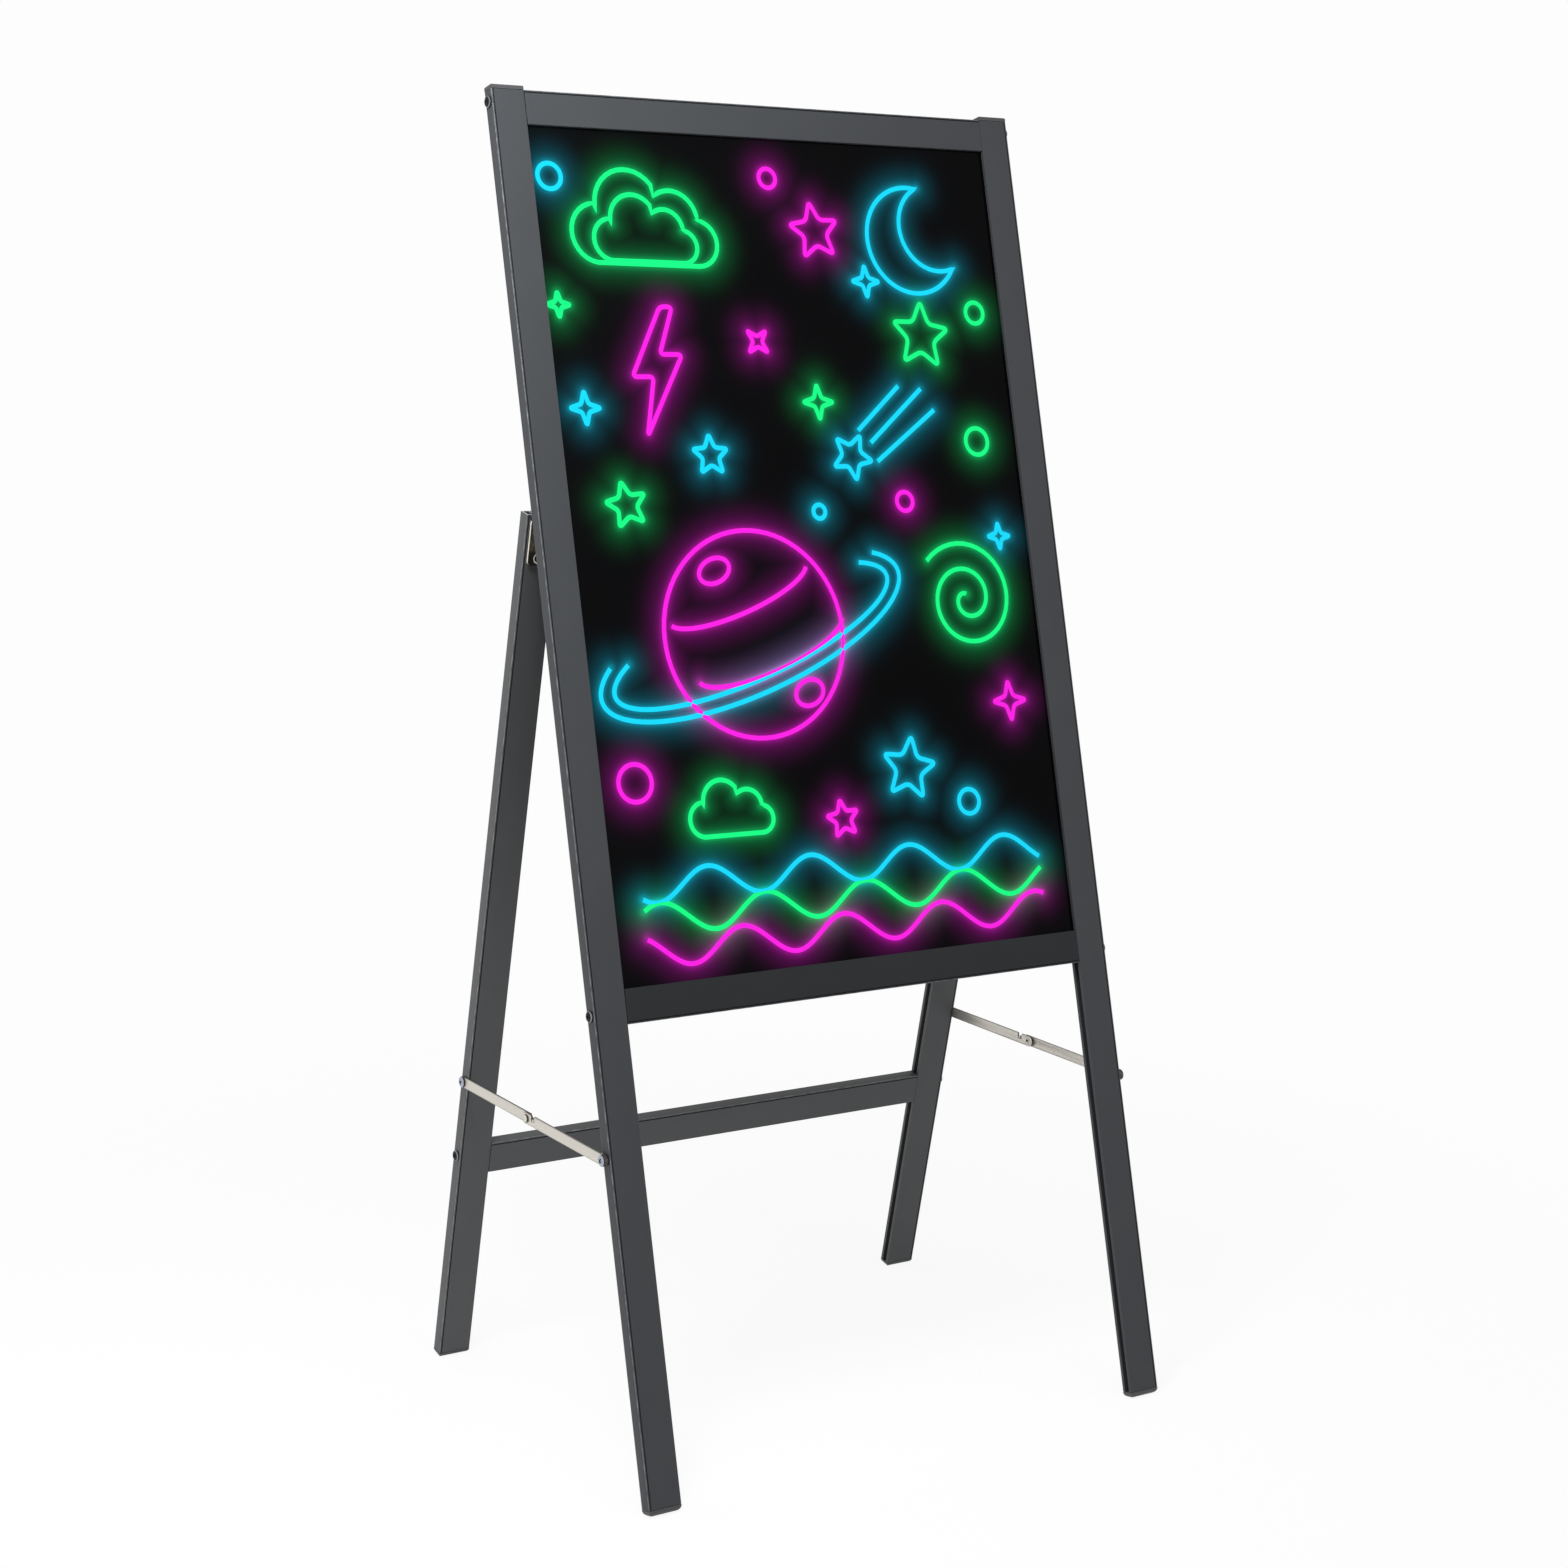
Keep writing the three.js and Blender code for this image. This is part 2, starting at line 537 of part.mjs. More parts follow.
// Hinges inside the fold: the front leaf has the two outer knuckles, the rear leaf the middle one
const leafEdge = LEAF_WIDTH / 2;
const middleEdge = MIDDLE_KNUCKLE / 2;
const innerEdge = middleEdge + FIT_GAP;
const leafFace = FIT_GAP + LEAF_THICKNESS;
for (const [side, sideName] of sideNames) {
  const hingeX = side * (halfWidth - HINGE_MARGIN - leafEdge);
  const screwX = side * (halfWidth - HINGE_SCREW_MARGIN);
  const frontLeaf = hingeLeaf(
    [[-leafEdge, -innerEdge], [innerEdge, leafEdge]], [[-innerEdge, innerEdge]], screwX - hingeX,
  );
  frontLeaf.translate(hingeX, SECTION_DEPTH, HINGE_HEIGHT);
  addPiece(frontFrame, `hinge_leaf_front_${sideName}`, frontLeaf, hingeSteel);
  const rearLeaf = hingeLeaf(
    [[-middleEdge, middleEdge]],
    [[-leafEdge - OVERRUN, -middleEdge], [middleEdge, leafEdge + OVERRUN]], hingeX - screwX,
  );
  rearLeaf.rotateZ(Math.PI).translate(hingeX, 0, rearHingeHeight);
  addPiece(rearFrame, `hinge_leaf_rear_${sideName}`, rearLeaf, hingeSteel);
  addPiece(frontFrame, `hinge_pin_${sideName}`, roundBar(
    HINGE_PIN_RADIUS, ACROSS, hingeX - leafEdge, hingeX + leafEdge, 0, hingeDepth, HINGE_HEIGHT,
  ), hingeSteel);
  for (const [drop, row] of [[UPPER_SCREW_DROP, 'upper'], [LOWER_SCREW_DROP, 'lower']]) {
    const frontScrew = flushScrew(0, 0);
    frontScrew.translate(screwX, SECTION_DEPTH + leafFace, HINGE_HEIGHT - drop);
    addPiece(frontFrame, `hinge_screw_front_${row}_${sideName}`, frontScrew, hingeSteel);
    const rearScrew = flushScrew(0, 0).rotateZ(Math.PI);
    rearScrew.translate(screwX, -leafFace, rearHingeHeight - drop);
    addPiece(rearFrame, `hinge_screw_rear_${row}_${sideName}`, rearScrew, hingeSteel);
  }
}

// Stays: two flat bars a side, riveted in the middle and straight when the board is open. The notched bar's
// notch takes the lug of the other bar, which stops the stay there; lifting the rivet folds it upward.
const frontPivot = frontFrame.localToWorld(new THREE.Vector3(0, middleDepth, FRONT_PIVOT_HEIGHT));
const rearPivot = rearFrame.localToWorld(new THREE.Vector3(0, middleDepth, REAR_PIVOT_HEIGHT));
const toRear = rearPivot.clone().sub(frontPivot).normalize();
const toFront = toRear.clone().negate();
const stayUp = ACROSS.clone().cross(toRear);
const rearLinkLength = rearPivot.distanceTo(frontPivot) - FRONT_LINK_LENGTH;
const rivetPoint = frontPivot.clone().addScaledVector(toRear, FRONT_LINK_LENGTH);

// Planes of the two bars, as distances out from the frames' outer faces
const innerPlane = [FIT_GAP, FIT_GAP + BAR_THICKNESS];
const outerPlane = [innerPlane[1] + FIT_GAP, innerPlane[1] + FIT_GAP + BAR_THICKNESS];
const barEdge = BAR_WIDTH / 2;

// Bar with the notch, from its round end past the rivet at the origin to its pivot
function notchedBarShape(length) {
  const endCentre = NOTCHED_END - barEdge;
  const shape = new THREE.Shape();
  shape.moveTo(-endCentre, -barEdge);
  shape.lineTo(length, -barEdge);
  shape.absarc(length, 0, barEdge, -Math.PI / 2, Math.PI / 2, false);
  shape.lineTo(NOTCH_START + NOTCH_WIDTH, barEdge);
  shape.lineTo(NOTCH_START + NOTCH_WIDTH, -FIT_GAP);
  shape.lineTo(NOTCH_START, -FIT_GAP);
  shape.lineTo(NOTCH_START, barEdge);
  shape.absarc(-endCentre, 0, barEdge, Math.PI / 2, 1.5 * Math.PI, false);
  return shape;
}

// Bar with the lug: its nose runs past the rivet, lower at the top, and carries the lug
function luggedBarShape(length) {
  const noseRadius = (barEdge + LUG_HEIGHT) / 2;
  const noseCentre = noseRadius - NOSE_LENGTH;
  const shape = new THREE.Shape();
  shape.moveTo(noseCentre, -barEdge);
  shape.lineTo(length, -barEdge);
  shape.absarc(length, 0, barEdge, -Math.PI / 2, Math.PI / 2, false);
  shape.lineTo(-RIVET_HEAD_RADIUS, barEdge);
  shape.quadraticCurveTo(-barEdge, LUG_HEIGHT, -NOTCH_START, LUG_HEIGHT);
  shape.absarc(noseCentre, LUG_HEIGHT - noseRadius, noseRadius, Math.PI / 2, 1.5 * Math.PI, false);
  return shape;
}

function lugShape() {
  const shape = new THREE.Shape();
  shape.moveTo(-LUG_START - LUG_WIDTH, 0);
  shape.lineTo(-LUG_START, 0);
  shape.lineTo(-LUG_START, LUG_HEIGHT);
  shape.lineTo(-LUG_START - LUG_WIDTH, LUG_HEIGHT);
  return shape;
}

function roundHole(x, radius) {
  const path = new THREE.Path();
  path.absarc(x, 0, radius, 0, 2 * Math.PI, true);
  return path;
}

// Flat stock laid in its plane: the shape's X runs from the rivet toward the bar's pivot
function layInPlane(shape, direction, side, [near, far]) {
  const outward = direction.clone().cross(stayUp).dot(ACROSS) * side;
  const start = side * (halfWidth + (outward > 0 ? near : far));
  const corner = new THREE.Vector3(start, rivetPoint.y, rivetPoint.z);
  return layOut(extrude(shape, far - near, 2 * SOLE_STEPS), corner, direction, stayUp);
}

function stayBar(kind, length, direction, side, plane) {
  const shape = kind === 'notched' ? notchedBarShape(length) : luggedBarShape(length);
  shape.holes.push(roundHole(0, RIVET_RADIUS + FIT_GAP));
  shape.holes.push(roundHole(length, PIVOT_JOURNAL_RADIUS + FIT_GAP));
  let bar = layInPlane(shape, direction, side, plane);
  if (kind === 'lugged') {
    bar = join([bar, layInPlane(lugShape(), direction, side, [innerPlane[0], outerPlane[1]])]);
  }
  if (plane === innerPlane) {
    const countersink = turned([
      [0, innerPlane[0] - OVERRUN],
      [RIVET_RADIUS + COUNTERSINK_GAP + RIVET_FLARE + OVERRUN, innerPlane[0] - OVERRUN],
      [RIVET_RADIUS + COUNTERSINK_GAP, innerPlane[0] + RIVET_FLARE],
      [0, innerPlane[0] + RIVET_FLARE],
    ], ACROSS.clone().multiplyScalar(side), side * halfWidth, rivetPoint.y, rivetPoint.z);
    bar = cut(bar, [countersink]);
  }
  return bar;
}

// Fasteners of a stay, turned about X with their profiles measured out from the frames' outer faces
function stayRivet(side) {
  const seat = outerPlane[1] + FIT_GAP;
  return turned([
    [0, innerPlane[0]],
    [RIVET_RADIUS + RIVET_FLARE, innerPlane[0]],
    [RIVET_RADIUS, innerPlane[0] + RIVET_FLARE],
    [RIVET_RADIUS, seat],
    ...domedHead(RIVET_HEAD_RADIUS, RIVET_HEAD_HEIGHT, seat),
  ], ACROSS.clone().multiplyScalar(side), side * halfWidth, rivetPoint.y, rivetPoint.z);
}

// The front pivot's collar fills the inner bar's plane and carries the outer bar clear of the stile
function frontPivotScrew(side) {
  const seat = outerPlane[1] + FIT_GAP;
  return turned([
    [0, -PIVOT_SCREW_LENGTH],
    [SCREW_RADIUS, -PIVOT_SCREW_LENGTH + SCREW_RADIUS],
    [SCREW_RADIUS, innerPlane[0]],
    [PIVOT_COLLAR_RADIUS, innerPlane[0]],
    [PIVOT_COLLAR_RADIUS, innerPlane[1]],
    [PIVOT_JOURNAL_RADIUS, innerPlane[1]],
    [PIVOT_JOURNAL_RADIUS, seat],
    ...domedHead(PIVOT_HEAD_RADIUS, PIVOT_HEAD_HEIGHT, seat),
  ], ACROSS.clone().multiplyScalar(side), side * halfWidth, frontPivot.y, frontPivot.z);
}

// The rear pivot is where the linkage is left open: this screw rides on its bar and stops at the bar's inside
function rearPivotScrew(side) {
  const seat = innerPlane[1] + FIT_GAP;
  return turned([
    [0, innerPlane[0]],
    [PIVOT_JOURNAL_RADIUS, innerPlane[0]],
    [PIVOT_JOURNAL_RADIUS, seat],
    ...domedHead(PIVOT_HEAD_RADIUS, PIVOT_HEAD_HEIGHT, seat),
  ], ACROSS.clone().multiplyScalar(side), side * halfWidth, rearPivot.y, rearPivot.z);
}

for (const [side, sideName, frontKind, rearKind] of [
  [-1, 'left', 'notched', 'lugged'], [1, 'right', 'lugged', 'notched'],
]) {
  addPiece(board, `stay_link_front_${sideName}`, stayBar(
    frontKind, FRONT_LINK_LENGTH, toFront, side, outerPlane,
  ), stayNickel);
  addPiece(board, `stay_link_rear_${sideName}`, stayBar(
    rearKind, rearLinkLength, toRear, side, innerPlane,
  ), stayNickel);
  addPiece(board, `stay_rivet_${sideName}`, stayRivet(side), stayNickel);
  addPiece(board, `stay_pivot_front_${sideName}`, frontPivotScrew(side), brightZinc);
  addPiece(board, `stay_pivot_rear_${sideName}`, rearPivotScrew(side), brightZinc);
}

// The origin lies on the ground at the middle of the footprint
board.updateMatrixWorld(true);
const bounds = new THREE.Box3().setFromObject(board, true);
const centre = bounds.getCenter(new THREE.Vector3());
board.position.set(-centre.x, -centre.y, -bounds.min.z);

export default board;
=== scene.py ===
import math

import bmesh
import bpy
import numpy as np
from mathutils import Matrix, Vector, kdtree


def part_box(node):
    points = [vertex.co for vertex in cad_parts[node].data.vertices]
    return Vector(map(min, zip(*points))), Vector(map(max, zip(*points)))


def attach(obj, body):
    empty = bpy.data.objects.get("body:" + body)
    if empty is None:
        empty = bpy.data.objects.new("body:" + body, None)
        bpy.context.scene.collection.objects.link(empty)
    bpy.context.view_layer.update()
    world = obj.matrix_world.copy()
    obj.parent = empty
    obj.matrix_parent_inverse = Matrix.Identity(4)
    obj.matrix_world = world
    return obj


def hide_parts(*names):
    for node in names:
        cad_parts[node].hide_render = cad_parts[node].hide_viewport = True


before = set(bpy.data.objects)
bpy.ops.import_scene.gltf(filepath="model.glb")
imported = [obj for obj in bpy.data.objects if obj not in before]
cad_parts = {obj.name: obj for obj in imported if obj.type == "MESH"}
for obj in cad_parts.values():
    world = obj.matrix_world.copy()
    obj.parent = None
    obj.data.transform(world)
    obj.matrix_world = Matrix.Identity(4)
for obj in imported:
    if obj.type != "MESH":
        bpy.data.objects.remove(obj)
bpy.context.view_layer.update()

# Camera: stands a step to the board's left and a little above its middle, as the photograph was taken, with a
# slight roll. Its lens is a long normal one, and the small shift only centres the board as the frame has it.


def in_scene(name, data):
    """A new object that stands in the scene."""
    made = bpy.data.objects.new(name, data)
    bpy.context.scene.collection.objects.link(made)
    return made


camera = in_scene("photo_camera", bpy.data.cameras.new("photo_camera"))
camera.data.lens = 64.139
camera.data.shift_x = -0.00421
camera.data.shift_y = -0.01384
camera.location = (-1.10127, -1.66308, 0.82061)
camera.rotation_euler = [math.radians(angle) for angle in (79.9577, -1.6976, -32.7738)]
bpy.context.scene.camera = camera

# Frame bars: seven lengths sawn from one hollow aluminium section with a slot in its inner edge, a V-groove near
# its outer edge and two ribs inside that form a screw port. The front frame leans back and the rear one forward.
# Sizes are in millimetres in each frame's own upright axes; a place matrix turns them to metres where they stand.
FRAME_WIDTH = 438.0
STILE_LENGTH = 971.3
LEG_LENGTH = 663.0
BOTTOM_RAIL_HEIGHT = 325.6
CROSS_RAIL_HEIGHT = 155.0
FRONT_PIVOT_HEIGHT = 237.8
REAR_PIVOT_HEIGHT = 231.4
HINGE_HEIGHT = 674.7
FIT_GAP = 0.3
DEPTH = 10.0
LEG_FACE = 25.0
RAIL_FACE = 24.0
WALL = 1.4
WEB = 1.2
RIB = 1.0
CHAMBER_SPAN = 14.0
SCREW_PORT = 4.2
EDGE_RADIUS = 0.4
SLOT_WIDTH = 4.4
GROOVE_START, GROOVE_MIDDLE, GROOVE_END, GROOVE_DEPTH = 1.15, 1.5, 1.85, 0.45
WEAR_AND_HIGHLIGHT_EDGE = 0.5
SLOT_FLOOR = WALL + CHAMBER_SPAN + WEB
SCREW_LINE = WALL + CHAMBER_SPAN / 2
HALF_WIDTH = FRAME_WIDTH / 2
FOOT_CAP_HEIGHT = 4.2
TOP_CAP_HEIGHT = 3.0
TOP_EDGE = STILE_LENGTH - TOP_CAP_HEIGHT
BAR_START = FOOT_CAP_HEIGHT + FIT_GAP
RAIL_LENGTH = FRAME_WIDTH - 2 * (LEG_FACE + FIT_GAP)
SCREW_HOLE_RADIUS = 2.1
DRILL_OVERRUN = 2.0
PIVOT_HOLE_DEPTH = 8.8
HINGE_HOLE_RADIUS = 1.95
HINGE_HOLE_DEPTH = 6.0
HINGE_SCREW_INSET = 11.0
HINGE_SCREW_DROPS = (14.0, 30.0)
INLET_OFFSET = 120.0
INLET_HOLE_RADIUS = 3.5
INLET_HOLE_DEPTH = 8.4
BEVELLED_BEND = 40
SQUARE_ON = 0.9995

METRES = Matrix.Scale(0.001, 4)
FRONT = METRES @ Matrix.Translation((0, -164.98515, 1.22501)) @ Matrix.Rotation(math.radians(-15.3), 4, "X")
REAR = METRES @ Matrix.Translation((0, 154.93835, -1.18698)) @ Matrix.Rotation(math.radians(10.95), 4, "X")
SIDES = ((-1, "left"), (1, "right"))


def linear(code, share=1.0):
    """An sRGB hex colour as linear RGBA, or a share of its light."""
    parts = [int(code[i:i + 2], 16) / 255 for i in (0, 2, 4)]
    return [share * (c / 12.92 if c <= 0.04045 else ((c + 0.055) / 1.055) ** 2.4) for c in parts] + [1.0]


def add(tree, kind, inputs=None, **settings):
    """Adds a node with its settings; inputs gives each socket a value, or the output or node that feeds it."""
    made = tree.nodes.new(kind)
    for key, value in settings.items():
        setattr(made, key, value)
    for key, value in (inputs or {}).items():
        if isinstance(value, bpy.types.Node):
            value = next(output for output in value.outputs if output.enabled)
        if isinstance(value, bpy.types.NodeSocket):
            tree.links.new(value, made.inputs[key])
        else:
            made.inputs[key].default_value = value
    return made


def new_material(name):
    """A material and its empty tree."""
    made = bpy.data.materials.new(name)
    made.use_nodes = True
    made.node_tree.nodes.clear()
    return made, made.node_tree


def surfaced(tree, sockets):
    """Ends a material's tree in a Principled shader with the given sockets."""
    add(tree, "ShaderNodeOutputMaterial", {"Surface": add(tree, "ShaderNodeBsdfPrincipled", sockets)})


def new_tree(name, sockets):
    """An empty geometry tree with a Geometry input and the named ones, and the outputs that give them."""
    tree = bpy.data.node_groups.new(name, "GeometryNodeTree")
    for label, kind in (("Geometry", "Geometry"), *sockets.items()):
        tree.interface.new_socket(label, in_out="INPUT", socket_type="NodeSocket" + kind)
    tree.interface.new_socket("Geometry", in_out="OUTPUT", socket_type="NodeSocketGeometry")
    return tree, tree.nodes.new("NodeGroupInput").outputs


def ended(tree, geometry, *finishes):
    """Ends a geometry tree: its instances become real, and each material goes on the faces that are its own."""
    made = add(tree, "GeometryNodeRealizeInstances", {"Geometry": geometry})
    for material, own in finishes:
        made = add(tree, "GeometryNodeSetMaterial", {"Geometry": made, "Material": material, "Selection": own})
    add(tree, "NodeGroupOutput", {"Geometry": made})


def mesh_of(verts, edges=(), faces=()):
    """A new mesh from its points, edges and faces."""
    mesh = bpy.data.meshes.new("mesh")
    mesh.from_pydata(verts, edges, faces)
    return mesh


def traced(closed_paths, open_paths=()):
    """A mesh of edges along closed and open paths in the plane Z = 0."""
    verts, edges = [], []
    for closed, paths in ((True, closed_paths), (False, open_paths)):
        for path in paths:
            first, count = len(verts), len(path)
            verts += [(x, y, 0) for x, y in path]
            edges += [(first + i, first + (i + 1) % count) for i in range(count if closed else count - 1)]
    return mesh_of(verts, edges)


def finished(built):
    """The mesh of a bmesh that is done with."""
    mesh = bpy.data.meshes.new("mesh")
    built.to_mesh(mesh)
    built.free()
    return mesh


def evaluated(mesh, tree=None, values=None, cutters=(), operation="DIFFERENCE", bevel=0, segments=2):
    """The plain mesh that a geometry tree, some booleans and an edge bevel make of another one."""
    temp = in_scene("temp", mesh)
    spare = [temp]
    if tree:
        modifier = temp.modifiers.new("tree", "NODES")
        modifier.node_group = tree
        for item in tree.interface.items_tree:
            if item.in_out == "INPUT" and item.name in values:
                modifier[item.identifier] = values[item.name]
    for cutter in cutters:
        spare.append(in_scene("cutter", cutter))
        modifier = temp.modifiers.new("cut", "BOOLEAN")
        modifier.object = spare[-1]
        modifier.operation = operation
        modifier.solver = "EXACT"
    if bevel:
        modifier = temp.modifiers.new("edge", "BEVEL")
        modifier.width = bevel
        modifier.segments = segments
        modifier.limit_method = "ANGLE"
        modifier.angle_limit = math.radians(BEVELLED_BEND)
        modifier.use_clamp_overlap = True
    bpy.context.view_layer.update()
    made = bpy.data.meshes.new_from_object(temp.evaluated_get(bpy.context.evaluated_depsgraph_get()))
    for done in spare:
        bpy.data.objects.remove(done)
    return made


def moved(mesh, matrix):
    """The same mesh after a matrix has placed it."""
    mesh.transform(matrix)
    return mesh


def settle(name, mesh, place, body, nodes, finishes=None, stock=None, sharp=32):
    """Stands a finished mesh where it belongs, as a piece that replaces its CAD nodes and rides on their body. A
    piece made of stock gets the place in that stock of each of its points, in millimetres, for its material."""
    mesh.name = name
    mesh.transform(place)
    if stock:
        attribute = mesh.attributes.new("stock", "FLOAT_VECTOR", "POINT")
        back = np.array((place @ stock).inverted())
        points = np.empty(len(mesh.vertices) * 3, np.float32)
        mesh.vertices.foreach_get("co", points)
        points = points.reshape(-1, 3) @ back[:3, :3].T + back[:3, 3]
        attribute.data.foreach_set("vector", points.astype(np.float32).ravel())
    mesh.shade_smooth()
    mesh.set_sharp_from_angle(angle=math.radians(sharp))
    if finishes:
        slots = [face.material_index for face in mesh.polygons]
        mesh.materials.clear()
        for finish in finishes:
            mesh.materials.append(finish)
        mesh.polygons.foreach_set("material_index", slots)
    piece = in_scene(name, mesh)
    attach(piece, body)
    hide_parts(*nodes)


def turned(profile, steps=56):
    """A closed solid turned about Z, from its (radius, height) points between two points on the axis."""
    verts, faces, rings = [], [], []
    for radius, height in profile:
        count = steps if radius > 1e-6 else 1
        rings.append([len(verts) + i for i in range(count)])
        for i in range(count):
            turn = 2 * math.pi * i / steps
            verts.append((radius * math.cos(turn), radius * math.sin(turn), height))
    for low, high in zip(rings, rings[1:]):
        for i in range(steps):
            corners = [ring[k % len(ring)] for ring, k in ((low, i), (low, i + 1), (high, i + 1), (high, i))]
            corners = list(dict.fromkeys(corners))
            if len(corners) > 2:
                faces.append(corners)
    return mesh_of(verts, faces=faces)


def pointing(axis, at):
    """Places a turned solid with its axis along +X, -X, +Y or -Y from a point."""
    turns = {"+X": (90, "Y"), "-X": (-90, "Y"), "+Y": (-90, "X"), "-Y": (90, "X")}
    angle, about = turns[axis]
    return Matrix.Translation(at) @ Matrix.Rotation(math.radians(angle), 4, about)


def outward(side, x, y, z):
    """Places a turned solid with its axis straight out from one side of the board."""
    return pointing("+X" if side > 0 else "-X", (side * x, y, z))


def laid_back(x, y, z):
    """Lays flat stock upright: its Y goes up, and its thickness comes forward from a point."""
    return Matrix.Translation((x, y, z)) @ Matrix.Rotation(math.radians(90), 4, "X")


def rod(radius, low, high, steps=56):
    """A plain round bar."""
    return turned([(0, low), (radius, low), (radius, high), (0, high)], steps)


def drill(radius, length, place):
    """A cutter that starts a millimetre before its hole."""
    return moved(rod(radius, -length, 1, 32), place)


def arc(x, y, radius, start, end, steps):
    """Points along an arc from one angle to another, in degrees."""
    angles = np.radians(np.linspace(start, end, steps + 1))
    return [(x + radius * math.cos(a), y + radius * math.sin(a)) for a in angles]


def rectangle(low, high, bottom, top):
    """The outline of a rectangle between its X and its Y limits."""
    return [(low, bottom), (high, bottom), (high, top), (low, top)]


def section_outline(face):
    """The section from its closed outer edge at X = 0 to its slotted inner edge."""
    lip, r, steps = (DEPTH - SLOT_WIDTH) / 2, EDGE_RADIUS, 5
    return [
        *arc(r, r, r, 180, 270, steps), (GROOVE_START, 0), (GROOVE_MIDDLE, GROOVE_DEPTH), (GROOVE_END, 0),
        *arc(face - r, r, r, 270, 360, steps), (face, lip), (SLOT_FLOOR, lip),
        (SLOT_FLOOR, DEPTH - lip), (face, DEPTH - lip), *arc(face - r, DEPTH - r, r, 0, 90, steps),
        (GROOVE_END, DEPTH), (GROOVE_MIDDLE, DEPTH - GROOVE_DEPTH), (GROOVE_START, DEPTH),
        *arc(r, DEPTH - r, r, 90, 180, steps),
    ]


PORT_START, PORT_END = SCREW_LINE - SCREW_PORT / 2, SCREW_LINE + SCREW_PORT / 2
CHAMBERS = [
    rectangle(start, end, WALL, DEPTH - WALL)
    for start, end in ((WALL, PORT_START - RIB), (PORT_START, PORT_END), (PORT_END + RIB, WALL + CHAMBER_SPAN))
]

# The press or saw that turns an outline into stock: it fills the outline round its holes, runs it along Z and
# gives its two sawn ends a finish of their own
stock_tree, given = new_tree("stock_from_outline", {"Length": "Float", "Skin": "Material", "Sawn End": "Material"})
outline = add(stock_tree, "GeometryNodeMeshToCurve", {"Mesh": given["Geometry"]})
filled = add(stock_tree, "GeometryNodeFillCurve", {"Curve": outline}, mode="NGONS")
run = add(stock_tree, "GeometryNodeExtrudeMesh", {
    "Mesh": filled, "Offset": (0, 0, 1), "Offset Scale": given["Length"], "Individual": False,
})
base = add(stock_tree, "GeometryNodeFlipFaces", {"Mesh": filled})
both = add(stock_tree, "GeometryNodeJoinGeometry", {0: run})
stock_tree.links.new(base.outputs[0], both.inputs[0])
closed = add(stock_tree, "GeometryNodeMergeByDistance", {"Geometry": both, "Distance": 0.001})
normal = add(stock_tree, "ShaderNodeSeparateXYZ", {0: add(stock_tree, "GeometryNodeInputNormal")})
level = add(stock_tree, "ShaderNodeMath", {0: normal.outputs["Z"]}, operation="ABSOLUTE")
is_end = add(stock_tree, "FunctionNodeCompare", {0: level, 1: SQUARE_ON}, operation="GREATER_THAN")
ended(stock_tree, closed, (given["Skin"], True), (given["Sawn End"], is_end))


def stock(loops, length, skin, sawn=None):
    """A length of stock whose first outline is its outside and whose other ones are its hollows."""
    return evaluated(traced(loops), stock_tree, {"Length": float(length), "Skin": skin, "Sawn End": sawn or skin})


